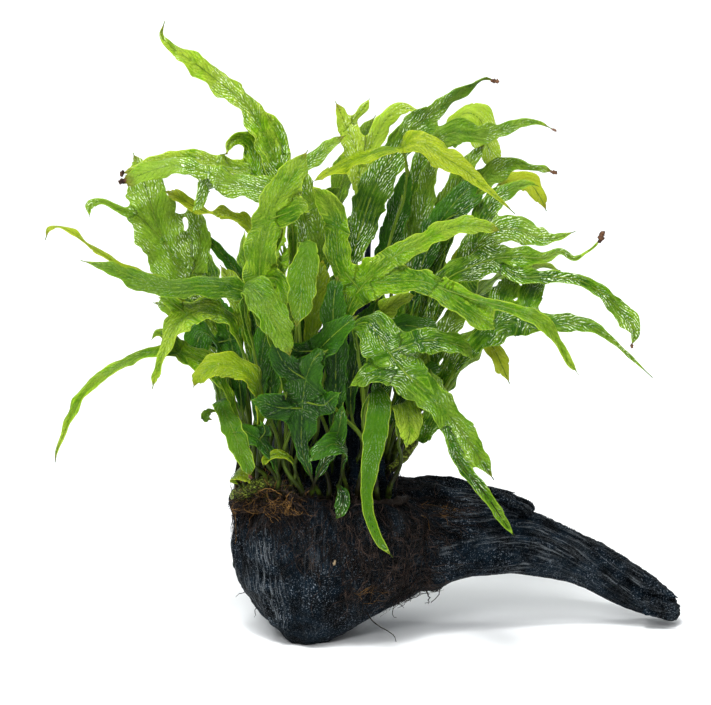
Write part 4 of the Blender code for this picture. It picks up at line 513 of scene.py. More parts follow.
class Rib:
    """A smooth line through points with a half width at each. Its knots are the points, counted from 0."""

    def __init__(self, points, half_widths=None, face=(0, 0, 1), roll=0.0, first_normal=None):
        self.points = points
        self.half_widths = half_widths or [0.0] * len(points)
        self.face = Vector(face).normalized()
        self.roll = math.radians(roll)
        self.first_normal = first_normal
        self.spans = [(b - a).length for a, b in zip(points, points[1:])]
        self.last = len(points) - 1
        self.normals = self.carried_normals()

    def slope(self, values, i):
        """The rate of change at knot i, per millimetre along the line."""
        if i == 0:
            return (values[1] - values[0]) / self.spans[0]
        if i == self.last:
            return (values[i] - values[i - 1]) / self.spans[-1]
        before, after = self.spans[i - 1], self.spans[i]
        return ((values[i + 1] - values[i]) / after * before
                + (values[i] - values[i - 1]) / before * after) / (before + after)

    def place(self, knot):
        i = min(int(knot), self.last - 1)
        t = knot - i
        span = self.spans[i]
        a, b = self.points[i], self.points[i + 1]
        da, db = self.slope(self.points, i) * span, self.slope(self.points, i + 1) * span
        return (a * (2 * t**3 - 3 * t**2 + 1) + da * (t**3 - 2 * t**2 + t)
                + b * (3 * t**2 - 2 * t**3) + db * (t**3 - t**2))

    def direction(self, knot, reach=0.02):
        low, high = max(0.0, knot - reach), min(self.last, knot + reach)
        return (self.place(high) - self.place(low)).normalized()

    def half_width(self, knot):
        i = min(int(knot), self.last - 1)
        t = knot - i
        share = t * t * (3 - 2 * t)
        return self.half_widths[i] * (1 - share) + self.half_widths[i + 1] * share

    def carried_normals(self):
        """The way the upper side looks, PER_KNOT to a knot: carried along the rib both ways from its widest
        part, or on from first_normal, with no twist but what slowly brings it square to the face
        direction."""
        count = self.last * PER_KNOT
        knots = [i / PER_KNOT for i in range(count + 1)]
        start = 0 if self.first_normal else max(range(count), key=lambda i: self.half_width(knots[i]))
        normals = [self.first_normal or self.face] * (count + 1)
        for order in (range(start, count + 1), range(start, -1, -1)):
            normal = self.first_normal or self.face
            for i in order:
                ahead = self.direction(knots[i])
                squared = self.face - ahead * self.face.dot(ahead)
                if normal.dot(squared) < 0:
                    squared.negate()
                step = self.spans[min(int(knots[i]), self.last - 1)] / PER_KNOT
                normal = normal - ahead * normal.dot(ahead) + squared * (step / EASE_LENGTH)
                normal.normalize()
                normals[i] = normal.copy()
        return normals

    def normal(self, knot):
        """The way the upper side looks at a knot, turned by the roll."""
        ahead = self.direction(knot)
        i = min(int(knot * PER_KNOT), len(self.normals) - 2)
        carried = self.normals[i].lerp(self.normals[i + 1], knot * PER_KNOT - i)
        squared = (carried - ahead * carried.dot(ahead)).normalized()
        return Matrix.Rotation(self.roll * (knot / self.last)**2, 3, ahead) @ squared


def rhizome_rib(points):
    return Rib([Vector((x, y, STUMP_TOP + rise)) for x, y, rise in points])


def foot_point(x, y, lines):
    """Where a stalk starts: just above the rhizome nearest to (x, y), and higher where that climbs."""
    line, knot = min(((line, i / PER_KNOT) for line in lines for i in range(line.last * PER_KNOT + 1)),
                     key=lambda found: (found[0].place(found[1]).xy - Vector((x, y))).length)
    flat = line.direction(knot).xy.length
    climb = math.sqrt(1 - flat**2) / flat
    height = line.place(knot).z + (RHIZOME_RADIUS + FOOT_CLEARANCE) / flat + STALK_HALF_WIDTH * climb
    return Vector((x, y, height))


def ribs_of(frond, lines):
    """The main rib and the lobes' ribs, and for each lobe its parent's number and where it leaves it."""
    foot = foot_point(*frond["foot"], lines)
    points = [foot] + [seen(x, z, y) for x, z, y, _ in frond["rib"]]
    half_widths = [STALK_HALF_WIDTH] + [half_width for *_, half_width in frond["rib"]]
    ribs = [Rib(points, half_widths, frond.get("face", FACE_VIEWER), frond.get("roll", 0.0))]
    joins = [None]
    for start, points, *parent_lobe in frond.get("lobes", []):
        number = parent_lobe[0] + 1 if parent_lobe else 0
        parent = ribs[number]
        line = [parent.place(start)] + [seen(x, z, y) for x, z, y, _ in points]
        half_widths = [points[0][3]] + [half_width for *_, half_width in points]
        ribs.append(Rib(line, half_widths, parent.face, 0.0, parent.normal(start)))
        joins.append((number, start))
    return ribs, joins


# ---------------------------------------------------------------- blades

STEP, FEWEST_STEPS = 0.7, 6  # between two readings of a rib, and how many there are at least
FINE_READINGS = 40  # to a knot, from which a rib's length is found
BEARING_REACH = 0.1  # in knots: to either side of a reading, where its direction comes from
CHUNK = 4000  # points looked up at once

# The blade's outline
LAMINA_LIMIT = 1.3  # the blade starts where the main rib first gets wider than this
LAMINA_LEAD, LAMINA_TAPER = 4.0, 7.0  # less this much, and comes to its full width over this length
COARSE_WAVE, FINE_WAVE = (0.10, 9.5), (0.03, 4.1)  # of a margin: share of the half width, length
WAVE_DRIFT = 23.0  # the length over which the coarse ones come and go
FILLET = 3.0  # how far the armpit between two lobes is rounded

# Its surface
RIPPLE = 14.0  # along the margin, from one ripple to the next
RIPPLE_RANGE = (0.8, 1.25)
RIPPLE_HEIGHT, CUP_HEIGHT = 0.26, 0.5  # as shares of the half width
MOST_RELIEF_WIDTH = 6.5  # past this half width they grow no higher
GROOVE_DEPTH, GROOVE_WIDTH = 0.28, 0.6  # over the midrib
BLISTER = 2.8  # across one of the swellings between the veins
BLISTER_HEIGHT, BLISTER_SLOPE = 0.5, 2.2
BLISTER_MARGIN = 1.5  # how far from the margin they are whole
BLADE_THICKNESS, MARGIN_THICKNESS = 0.42, 0.16
MARGIN_REACH = 1.6  # how far from the margin the blade is whole

# Its mesh
PITCH = 0.8  # between the points
ROW_SHARE = math.sqrt(0.75)  # the rows of an even triangular lattice lie this much closer
LATTICE_LEAD = 3.0  # the lattice starts this far before the blade
LATTICE_STRIDE = 5  # readings of a rib to each one whose surroundings it covers
LATTICE_ROOM = (1.2, 3.5)  # how far round that: times the greatest half width, plus this
RIM_BAND = 0.5  # in pitches: points this near the margin are moved onto it,
RIM_MOVES, MOST_MOVE, LEAST_STEEPNESS = 2, 0.6, 0.3  # in two moves, none of them further than this
LEAST_AREA = 0.06  # in squares of the pitch: a triangle with less is left out,
MOST_OUTSIDE = 0.05  # and so is one whose middle lies further outside the margin
BLEND = 1.2  # how far past its own margin a rib still steers the surface
CONFLICT = 3.0  # ribs that put a point further apart than this don't share it
TORN = 6.0  # a triangle drawn out to more steps than this is left out
NUDGE = 0.05  # how far apart two readings are that give the slope towards the margin

# Stalks and midribs
SHORT_STALK = 20.0  # a shorter one doesn't stray from its rib
STALK_WANDER = 3.2  # how far a longer one does, with this many half turns, and this share of it up and down
WANDER_TURNS, WANDER_UP = (0.7, 1.6), 0.7
FOOT_SWAY = 5.0  # how far a stalk leans aside just above its foot
FOOT_SWAY_AT, FOOT_SWAY_REACH = 19.0, 11.0  # how far along it does so the most, and over what length
CROWN_MIDDLE, SWAY_EDGE = 4.0, (26.0, 18.0)  # only those with feet this far from the middle in x do so
STALK_RADII = (0.92, 0.68)  # at the foot and where the blade starts
FOOT_SWELL, FOOT_SWELL_REACH = 0.35, 3.0  # how much thicker a stalk's foot is, and over what length
BLADE_THINNING, BLADE_THINNING_REACH = 0.18, 14.0  # how much thinner it gets where the blade starts
TIP_THINNING = 0.3  # and from there to the tip
LOBE_RIB_RADIUS = 0.42
LEAST_RADIUS = 0.12
SINK_REACH = 9.0  # over which the stalk passes below the blade
FOOT_DEPTH = 3.6  # how far it reaches into the rhizome
RIB_STRIDE = 3  # readings of a rib to each ring of its tube
STALK_SIDES, MIDRIB_SIDES = 7, 5

BLADE, STALK, TIP = range(3)  # a frond's materials


def eased(values):
    """A share from 0 to 1 with a gentle start and end."""
    values = np.clip(values, 0.0, 1.0)
    return values * values * (3 - 2 * values)


def ramp(values, start, end):
    """0 before start, 1 past end and eased between them. end may be the lower one."""
    return eased((values - start) / (end - start))


def squared_gaps(points, line, taken):
    """What is taken, the least or its number, of each point's squared distances from a line's points."""
    return np.concatenate([taken(((part[:, None] - line[None])**2).sum(2), axis=1)
                           for part in np.array_split(points, len(points) // CHUNK + 1)])


class Strip:
    """A rib read at even steps, and the same line unrolled on the flat chart where the blade is laid out."""

    def __init__(self, rib, manner, chance, chart_start=(0.0, 0.0), heading=0.0, is_lobe=False):
        fine = np.linspace(0, rib.last, rib.last * FINE_READINGS + 1)
        places = [rib.place(knot) for knot in fine]
        arc = np.cumsum([0.0] + [(b - a).length for a, b in zip(places, places[1:])])
        self.length = arc[-1]
        self.arc = np.linspace(0, self.length, max(FEWEST_STEPS, round(self.length / STEP)) + 1)
        self.knots = np.interp(self.arc, arc, fine)
        self.line = np.array([rib.place(k) for k in self.knots])
        self.ahead = np.array([rib.direction(k, BEARING_REACH) for k in self.knots])
        self.up = np.array([rib.normal(k) for k in self.knots])
        self.across = np.cross(self.ahead, self.up)
        half = np.array([rib.half_width(k) for k in self.knots])
        self.widest = half.max()
        self.start = 0.0 if is_lobe else self.blade_start(half)
        self.line += self.wandering(chance)
        self.manner = manner
        self.ripple = RIPPLE * chance.uniform(*RIPPLE_RANGE)
        self.phases = [chance.uniform(0, 2 * math.pi) for _ in range(8)]
        self.sides = [self.wavy(half, *self.phases[:2]), self.wavy(half, *self.phases[2:4])]
        turned = (np.diff(self.ahead, axis=0) * self.across[:-1]).sum(1)
        self.heading = heading - np.concatenate([[0.0], np.cumsum(turned)])
        self.chart_ahead = np.stack([np.cos(self.heading), np.sin(self.heading)], 1)
        self.chart_right = np.stack([np.sin(self.heading), -np.cos(self.heading)], 1)
        steps = (self.chart_ahead[:-1] + self.chart_ahead[1:]) / 2 * (self.arc[1] - self.arc[0])
        self.chart = np.array(chart_start) + np.vstack([[0.0, 0.0], np.cumsum(steps, axis=0)])

    def blade_start(self, half):
        """How far along the main rib the blade starts."""
        wide = np.nonzero(half > LAMINA_LIMIT)[0]
        return max(0.0, self.arc[wide[0]] - LAMINA_LEAD)

    def wandering(self, chance):
        """How a stalk strays from its rib between the foot and the blade."""
        turns = [chance.uniform(*WANDER_TURNS) for _ in range(2)]
        phases = [chance.uniform(0, 2 * math.pi) for _ in range(2)]
        if self.start < SHORT_STALK:
            return np.zeros_like(self.line)
        share = np.clip(self.arc / self.start, 0.0, 1.0)
        room = STALK_WANDER * np.sin(math.pi * share)[:, None]
        first, second = (np.sin(math.pi * t * share + p)[:, None] for t, p in zip(turns, phases))
        inside = float(ramp(abs(self.line[0, 0] - CROWN_MIDDLE), *SWAY_EDGE))
        near_foot = np.exp(-((self.arc - FOOT_SWAY_AT) / FOOT_SWAY_REACH)**2)[:, None]
        sway = FOOT_SWAY * inside * chance.uniform(-1, 1) * near_foot
        return room * (first * self.across + WANDER_UP * second * self.up) + sway * self.across

    def wavy(self, half, coarse, fine):
        """The half width of one side, with the margin's own unevenness. Before the blade there is none."""
        turns = 2 * math.pi * self.arc
        (high, long), (low, short) = COARSE_WAVE, FINE_WAVE
        uneven = high * np.sin(turns / long + coarse + np.sin(turns / WAVE_DRIFT))
        uneven += low * np.sin(turns / short + fine)
        side = half * (1 + uneven * self.manner["uneven"])
        if self.start:
            side = side * eased((self.arc - self.start) / LAMINA_TAPER) - 2.0 * (self.arc < self.start)
        return side

    def read(self, points):
        """For chart points: how far outside this blade's margin, and the place along and across its rib."""
        best = squared_gaps(points, self.chart, np.argmin)
        gap = points - self.chart[best]
        off = (gap * self.chart_right[best]).sum(1)
        free = self.arc[best] + (gap * self.chart_ahead[best]).sum(1)
        along = np.clip(free, 0.0, self.length)
        left, right = (np.interp(along, self.arc, side) for side in self.sides)
        half = np.where(off > 0, right, left)
        return np.hypot(off, free - along) - half, along, off, half

    def relief(self, along, off, half):
        """How far the surface stands above the rib's own plane: margin ripples, cupping and a groove."""
        share = np.clip(np.abs(off) / np.maximum(half, 0.9), 0.0, 1.1)
        turns = 2 * math.pi * along / self.ripple
        a, b, c, d = self.phases[4:]
        left = np.sin(turns + a + 0.9 * np.sin(turns / 2.3 + b))
        right = np.sin(turns * 0.93 + c + 0.9 * np.sin(turns / 2.7 + d))
        room = np.clip(half, 0.0, MOST_RELIEF_WIDTH)
        ripples = self.manner["ruffle"] * RIPPLE_HEIGHT * room * share**2 * np.where(off > 0, right, left)
        cupping = self.manner["cup"] * CUP_HEIGHT * room * share**1.5
        return ripples + cupping - GROOVE_DEPTH * np.exp(-(off / GROOVE_WIDTH)**2)

    def lift(self, along, off, half, blisters):
        """Chart readings carried out to the surface in space."""
        line, across, up = (np.stack([np.interp(along, self.arc, values[:, i]) for i in range(3)], 1)
                            for values in (self.line, self.across, self.up))
        rise = self.relief(along, off, half) + blisters
        return line + across * off[:, None] + up * rise[:, None]


def strips_of(frond, lines, manner, chance):
    """The strip of the main rib, and one for each lobe, laid out beside its parent's on the chart."""
    ribs, joins = ribs_of(frond, lines)
    strips = [Strip(ribs[0], manner, chance)]
    for rib, (number, start) in zip(ribs[1:], joins[1:]):
        parent = strips[number]
        i = int(np.argmin(np.abs(parent.knots - start)))
        first = np.array(rib.direction(0.0, BEARING_REACH))
        bearing = math.atan2(first @ parent.across[i], first @ parent.ahead[i])
        heading = parent.heading[i] - bearing
        strips.append(Strip(rib, manner, chance, parent.chart[i], heading, is_lobe=True))
    return strips


def outside_blade(strips, points):
    """How far chart points lie outside the whole blade, whose armpits are rounded."""
    total = strips[0].read(points)[0]
    for strip in strips[1:]:
        other = strip.read(points)[0]
        meeting = np.clip(FILLET - np.abs(total - other), 0.0, None) / FILLET
        total = np.minimum(total, other) - meeting**2 * FILLET / 4
    return total


def chart_lattice(strips):
    """Points of a triangular lattice near the blade, and the triangles between them."""
    lines = np.vstack([strip.chart[strip.arc >= strip.start - LATTICE_LEAD][::LATTICE_STRIDE]
                       for strip in strips])
    reach = max(strip.widest for strip in strips) * LATTICE_ROOM[0] + LATTICE_ROOM[1]
    low, high = lines.min(0) - reach, lines.max(0) + reach
    across, upwards = PITCH, PITCH * ROW_SHARE
    columns, rows = int((high[0] - low[0]) / across) + 2, int((high[1] - low[1]) / upwards) + 2
    row, column = np.mgrid[0:rows, 0:columns]
    points = np.stack([low[0] + (column + 0.5 * (row % 2)) * across, low[1] + row * upwards], 2)
    points = points.reshape(-1, 2)
    near = squared_gaps(points, lines, np.min) < reach**2
    number = (row * columns + column)[:-1, :-1]
    here, right, above, both = number, number + 1, number + columns, number + columns + 1
    odd = (row[:-1, :-1] % 2).astype(bool)
    lower = np.where(odd[..., None], np.stack([here, right, both], 2), np.stack([here, right, above], 2))
    upper = np.where(odd[..., None], np.stack([here, both, above], 2), np.stack([right, both, above], 2))
    return points, near, np.concatenate([lower.reshape(-1, 3), upper.reshape(-1, 3)])


def used_only(triangles, *arrays):
    """The triangles renumbered, and the rows of each array that they use."""
    used = np.unique(triangles)
    renumbered = np.zeros(used.max() + 1, int)
    renumbered[used] = np.arange(len(used))
    return (renumbered[triangles], *[values[used] for values in arrays])


def blade_chart(strips):
    """The blade's outline filled with triangles on the chart, its edge points moved onto the margin."""
    points, near, triangles = chart_lattice(strips)
    outside = np.full(len(points), np.inf)
    outside[near] = outside_blade(strips, points[near])
    kept = outside < RIM_BAND * PITCH
    triangles, points, outside = used_only(triangles[kept[triangles].all(1)], points, outside)
    rim = outside > -RIM_BAND * PITCH
    for _ in range(RIM_MOVES):
        edge = points[rim]
        here = outside_blade(strips, edge)
        nudged = [outside_blade(strips, edge + step) for step in ((NUDGE, 0), (0, NUDGE))]
        slope = (np.stack(nudged, 1) - here[:, None]) / NUDGE
        moves = here / np.maximum((slope**2).sum(1), LEAST_STEEPNESS)
        points[rim] = edge - np.clip(moves, -MOST_MOVE * PITCH, MOST_MOVE * PITCH)[:, None] * slope
    a, b, c = (points[triangles[:, i]] for i in range(3))
    area = ((b - a)[:, 0] * (c - a)[:, 1] - (b - a)[:, 1] * (c - a)[:, 0]) / 2
    whole = (area > LEAST_AREA * PITCH**2) & (outside_blade(strips, (a + b + c) / 3) < MOST_OUTSIDE)
    return used_only(triangles[whole], points)


def blisters_at(points, outside, manner, seed):
    """The swellings between a blade's netted veins, flat at the margin."""
    places = [Vector((x / BLISTER, y / BLISTER, seed)) for x, y in points]
    cells = [noise.voronoi(place, distance_metric="DISTANCE")[0] for place in places]
    sunken = np.array([1 - min(1.0, BLISTER_SLOPE * (nearest[1] - nearest[0])) for nearest in cells])
    return -manner["blister"] * BLISTER_HEIGHT * sunken * eased(-outside / BLISTER_MARGIN)


def lifted(strips, points, manner, seed):
    """A blade's chart points in space, with what its material reads at each: how far inside the margin and,
    as a share, how far along the rib it lies; and how far off and along the rib in millimetres."""
    readings = [strip.read(points) for strip in strips]
    outside = np.array([reading[0] for reading in readings])
    margin = outside_blade(strips, points)
    blisters = blisters_at(points, margin, manner, seed)
    placed = np.array([strip.lift(*reading[1:], blisters) for strip, reading in zip(strips, readings)])
    best, every = outside.argmin(0), np.arange(len(points))
    weights = np.exp(-(outside - outside.min(0)) / BLEND)
    weights[np.linalg.norm(placed - placed[best, every], axis=2) > CONFLICT] = 0.0
    place = (weights[..., None] * placed).sum(0) / weights.sum(0)[:, None]
    along = np.array([reading[1] for reading in readings])[best, every]
    share = along / np.array([strip.length for strip in strips])[best]
    off = np.array([np.abs(reading[2]) for reading in readings]).min(0)
    return place, np.stack([-margin, share], 1), np.stack([off, along], 1)


class Form:
    """A mesh put together from pieces, with uv layers and a material number for each face. The uv layer
    "wet" is the same all over: how strongly the highlights painted into its colour show, and how deep its
    green is, which is partly its own tone and partly painted shade, with painted light where it is under 0."""

    LAYERS = ("chart", "blade", "rib")

    def __init__(self, painted_highlight_share=0.0, depth=0.0):
        self.wet = (painted_highlight_share, depth)
        self.points, self.faces, self.layers, self.numbers = [], [], {name: [] for name in self.LAYERS}, []
        self.count = 0

    def add(self, points, faces, number, chart, blade, rib):
        """Faces are rows of corners. Each uv layer has a row for each point, or is None for zeros."""
        self.points.append(points)
        self.faces += [tuple(face) for face in (np.asarray(faces) + self.count).tolist()]
        self.numbers += [number] * len(faces)
        for name, values in zip(self.LAYERS, (chart, blade, rib)):
            self.layers[name].append(np.zeros((len(points), 2)) if values is None else values)
        self.count += len(points)

    def mesh(self, name, materials):
        made = bpy.data.meshes.new(name)
        made.from_pydata((np.vstack(self.points) * MM).tolist(), [], self.faces)
        for material in materials:
            made.materials.append(material)
        made.polygons.foreach_set("material_index", self.numbers)
        corners = np.empty(len(made.loops), np.int32)
        made.loops.foreach_get("vertex_index", corners)
        for layer, parts in self.layers.items():
            uv = made.uv_layers.new(name=layer)
            uv.data.foreach_set("uv", np.vstack(parts)[corners].astype(np.float32).reshape(-1))
        wet = made.uv_layers.new(name="wet")
        wet.data.foreach_set("uv", np.tile(self.wet, len(corners)).astype(np.float32))
        made.shade_smooth()
        return made


ANY_UP = (0.31, 0.17, 0.93)  # a direction that no tube follows


def add_tube(form, line, radii, sides, number, frame_up=None, blade=None):
    """A closed round tube through points, with its radius at each."""
    line, radii = np.asarray(line, float), np.asarray(radii, float)
    ahead = np.gradient(line, axis=0)
    ahead /= np.maximum(np.linalg.norm(ahead, axis=1), 1e-9)[:, None]
    up = np.array(ANY_UP) if frame_up is None else frame_up
    up = up - ahead * (ahead * up).sum(1)[:, None]
    up /= np.maximum(np.linalg.norm(up, axis=1), 1e-9)[:, None]
    side = np.cross(ahead, up)
    angles = 2 * math.pi * np.arange(sides) / sides
    rings = (line[:, None] + radii[:, None, None] * (np.cos(angles)[None, :, None] * side[:, None]
                                                     + np.sin(angles)[None, :, None] * up[:, None]))
    count = len(line)
    ring, corner = np.mgrid[0:count - 1, 0:sides]
    here, beside = ring * sides + corner, ring * sides + (corner + 1) % sides
    walls = np.stack([here, beside, beside + sides, here + sides], 2).reshape(-1, 4)
    arc = np.concatenate([[0.0], np.cumsum(np.linalg.norm(np.diff(line, axis=0), axis=1))])
    chart = np.stack([np.repeat(arc, sides), np.tile(angles * radii.mean(), count)], 1)
    rows = None if blade is None else np.repeat(blade, sides, axis=0)
    start = form.count
    form.add(rings.reshape(-1, 3), walls, number, chart, rows, chart)
    last = (count - 1) * sides + start
    form.faces += [tuple(range(start, start + sides))[::-1], tuple(range(last, last + sides))]
    form.numbers += [number, number]


def normals_of(place, triangles):
    a, b, c = (place[triangles[:, i]] for i in range(3))
    facing = np.cross(b - a, c - a)
    normals = np.zeros_like(place)
    for i in range(3):
        np.add.at(normals, triangles[:, i], facing)
    return normals / np.maximum(np.linalg.norm(normals, axis=1), 1e-9)[:, None]


def add_blade(form, strips, manner, seed):
    """The lamina: an upper and a lower surface that close at the margin."""
    triangles, points = blade_chart(strips)
    place, blade, rib = lifted(strips, points, manner, seed)
    a, b, c = (place[triangles[:, i]] for i in range(3))
    longest = np.max([np.linalg.norm(side, axis=1) for side in (a - b, b - c, c - a)], 0)
    whole = triangles[longest < TORN * PITCH]
    triangles, place, blade, rib, points = used_only(whole, place, blade, rib, points)
    thickness = MARGIN_THICKNESS + (BLADE_THICKNESS - MARGIN_THICKNESS) * eased(blade[:, 0] / MARGIN_REACH)
    half = normals_of(place, triangles) * thickness[:, None] / 2
    count = len(place)
    edges = np.concatenate([triangles[:, [0, 1]], triangles[:, [1, 2]], triangles[:, [2, 0]]])
    keys = np.sort(edges, axis=1) @ [count, 1]
    values, first, uses = np.unique(keys, return_index=True, return_counts=True)
    rim = edges[first[uses == 1]]
    walls = np.stack([rim[:, 1], rim[:, 0], rim[:, 0] + count, rim[:, 1] + count], 1)
    both = [np.vstack([values, values]) for values in (points, blade, rib)]
    start = form.count
    form.add(np.vstack([place + half, place - half]), triangles, BLADE, *both)
    lower = triangles[:, ::-1] + count + start
    form.faces += [tuple(face) for face in lower.tolist() + (walls + start).tolist()]
    form.numbers += [BLADE] * (len(lower) + len(walls))


def stalk_radii(strip, arc):
    """The main rib's radii: thickest at its foot, and thin in the blade."""
    along_stalk = np.clip(arc / max(strip.start, 1.0), 0, 1)
    in_blade = np.clip((arc - strip.start) / (strip.length - strip.start), 0, 1)
    radii = STALK_RADII[0] + (STALK_RADII[1] - STALK_RADII[0]) * along_stalk
    radii += FOOT_SWELL * np.exp(-(arc / FOOT_SWELL_REACH)**2)
    radii -= BLADE_THINNING * eased((arc - strip.start) / BLADE_THINNING_REACH)
    return radii - TIP_THINNING * in_blade


def add_ribs(form, strips):
    """The stalk, and the midrib of each lobe, which stand out below the blade."""
    for number, strip in enumerate(strips):
        pick = np.unique(np.concatenate([np.arange(0, len(strip.arc), RIB_STRIDE), [len(strip.arc) - 1]]))
        arc, share = strip.arc[pick], strip.arc[pick] / strip.length
        main = number == 0
        radii = stalk_radii(strip, arc) if main else LOBE_RIB_RADIUS - TIP_THINNING * share
        sink = (radii + LEAST_RADIUS) * (eased((arc - strip.start) / SINK_REACH) if main else 1.0)
        line = strip.line[pick] - strip.up[pick] * sink[:, None]
        if main:
            line[0] -= strip.ahead[0] * FOOT_DEPTH
        blade = np.stack([np.full(len(pick), 0.5), share], 1)
        sides = STALK_SIDES if main else MIDRIB_SIDES
        add_tube(form, line, np.maximum(radii, LEAST_RADIUS), sides, STALK, strip.up[pick], blade)


# ---------------------------------------------------------------- materials

class Shading:
    """A material's nodes. Each method adds some and returns the socket that holds their result."""

    def __init__(self, name):
        self.material = bpy.data.materials.new(name)
        self.material.use_nodes = True
        self.tree = self.material.node_tree
        self.shader = self.tree.nodes["Principled BSDF"]

    def node(self, kind, inputs=None, **settings):
        made = self.tree.nodes.new("ShaderNode" + kind)
        for name, value in settings.items():
            setattr(made, name, value)
        for key, value in (inputs or {}).items():
            self.feed(made.inputs[key], value)
        return made

    def feed(self, socket, value):
        if isinstance(value, bpy.types.NodeSocket):
            self.tree.links.new(value, socket)
        else:
            socket.default_value = value

    def finish(self, **inputs):
        """Feeds the shader's sockets, whose names are given with underscores for spaces."""
        for name, value in inputs.items():
            self.feed(self.shader.inputs[name.replace("_", " ")], value)
        return self.material

    def layer(self, name):
        return self.node("UVMap", uv_map=name).outputs["UV"]

    def place(self):
        """The object's own coordinates in millimetres."""
        return self.scaled(self.node("TexCoord").outputs["Object"], 1 / MM)

    def scaled(self, vector, *scale):
        scale = scale * 3 if len(scale) == 1 else scale
        return self.node("VectorMath", {0: vector, 1: scale}, operation="MULTIPLY").outputs[0]

    def part(self, vector, axis):
        return self.node("SeparateXYZ", {0: vector}).outputs[axis]

    def noise(self, vector, size, detail=3.0, roughness=0.55, distortion=0.0):
        inputs = {"Vector": vector, "Scale": 1 / size, "Detail": detail, "Roughness": roughness,
                  "Distortion": distortion}
        return self.node("TexNoise", inputs).outputs[0]

    def cells(self, vector, size, feature="DISTANCE_TO_EDGE"):
        inputs = {"Vector": vector, "Scale": 1 / size}
        return self.node("TexVoronoi", inputs, feature=feature).outputs["Distance"]

    def span(self, value, low, high, to_low=0.0, to_high=1.0):
        """value eased from to_low at low to to_high at high."""
        inputs = {"Value": value, "From Min": low, "From Max": high, "To Min": to_low, "To Max": to_high}
        return self.node("MapRange", inputs, interpolation_type="SMOOTHSTEP").outputs[0]

    def maths(self, operation, first, second):
        return self.node("Math", {0: first, 1: second}, operation=operation).outputs[0]

    def times(self, first, second):
        return self.maths("MULTIPLY", first, second)

    def mix(self, share, first, second):
        made = self.node("Mix", data_type="RGBA")
        self.feed(made.inputs[0], share)
        self.feed(made.inputs[6], first)
        self.feed(made.inputs[7], second)
        return made.outputs[2]

    def bump(self, height, distance, under=None):
        """Height from 0 to 1 stands up to distance millimetres."""
        made = self.node("Bump", {"Height": height, "Distance": distance * MM, "Strength": 1.0})
        if under is not None:
            self.feed(made.inputs["Normal"], under)
        return made.outputs[0]


def rgb(hexadecimal):
    """A linear colour from a screen colour such as '5f9a10'."""
    parts = [int(hexadecimal[i:i + 2], 16) / 255 for i in (0, 2, 4)]
    return (*[(c + 0.055)**2.4 / 1.055**2.4 if c > 0.04045 else c / 12.92 for c in parts], 1.0)


# A blade's colours: its own, the darker one in patches and beside its midrib and for painted shade, the
# one near its margin and towards its tip and for painted light, that of the veins, and that of the midrib
LEAF_COLOURS = {
    "fresh": ("608c02", "2c5602", "a4ba38", "224603", "366004"),
    "mid": ("447002", "1b4202", "86a62e", "123203", "2a5604"),
    "dark": ("235109", "0d2c06", "487c14", "0a2604", "42641e"),
    "yellow": ("78900c", "466806", "a6b02a", "3e5a06", "547008"),
}
# Side veins, and the ridges along which pale highlights are painted for the wet gloss: from one to the next,
# how far forwards they run, and how far they stray
VEINS = (1.5, 0.5, 2.4)
PAINTED_HIGHLIGHT_LINES = (0.9, 0.22, 3.0)
# The colour of withered tips, and the pale colour of the highlights painted onto wet blades
TIP_BROWN, PAINTED_HIGHLIGHT_COLOUR = rgb("5a4018"), rgb("e2efcc")


def slanted(look, rib, off, wander, spacing, slant, stray):
    """How far a point is from the nearest of the lines that run forwards from the rib: 0 on it, and 0.5 in
    the middle between two."""
    across = look.maths("SUBTRACT", off, look.times(look.part(rib, 1), slant))
    across = look.maths("ADD", across, look.times(wander, stray))
    return look.maths("PINGPONG", look.maths("DIVIDE", across, spacing), 0.5)


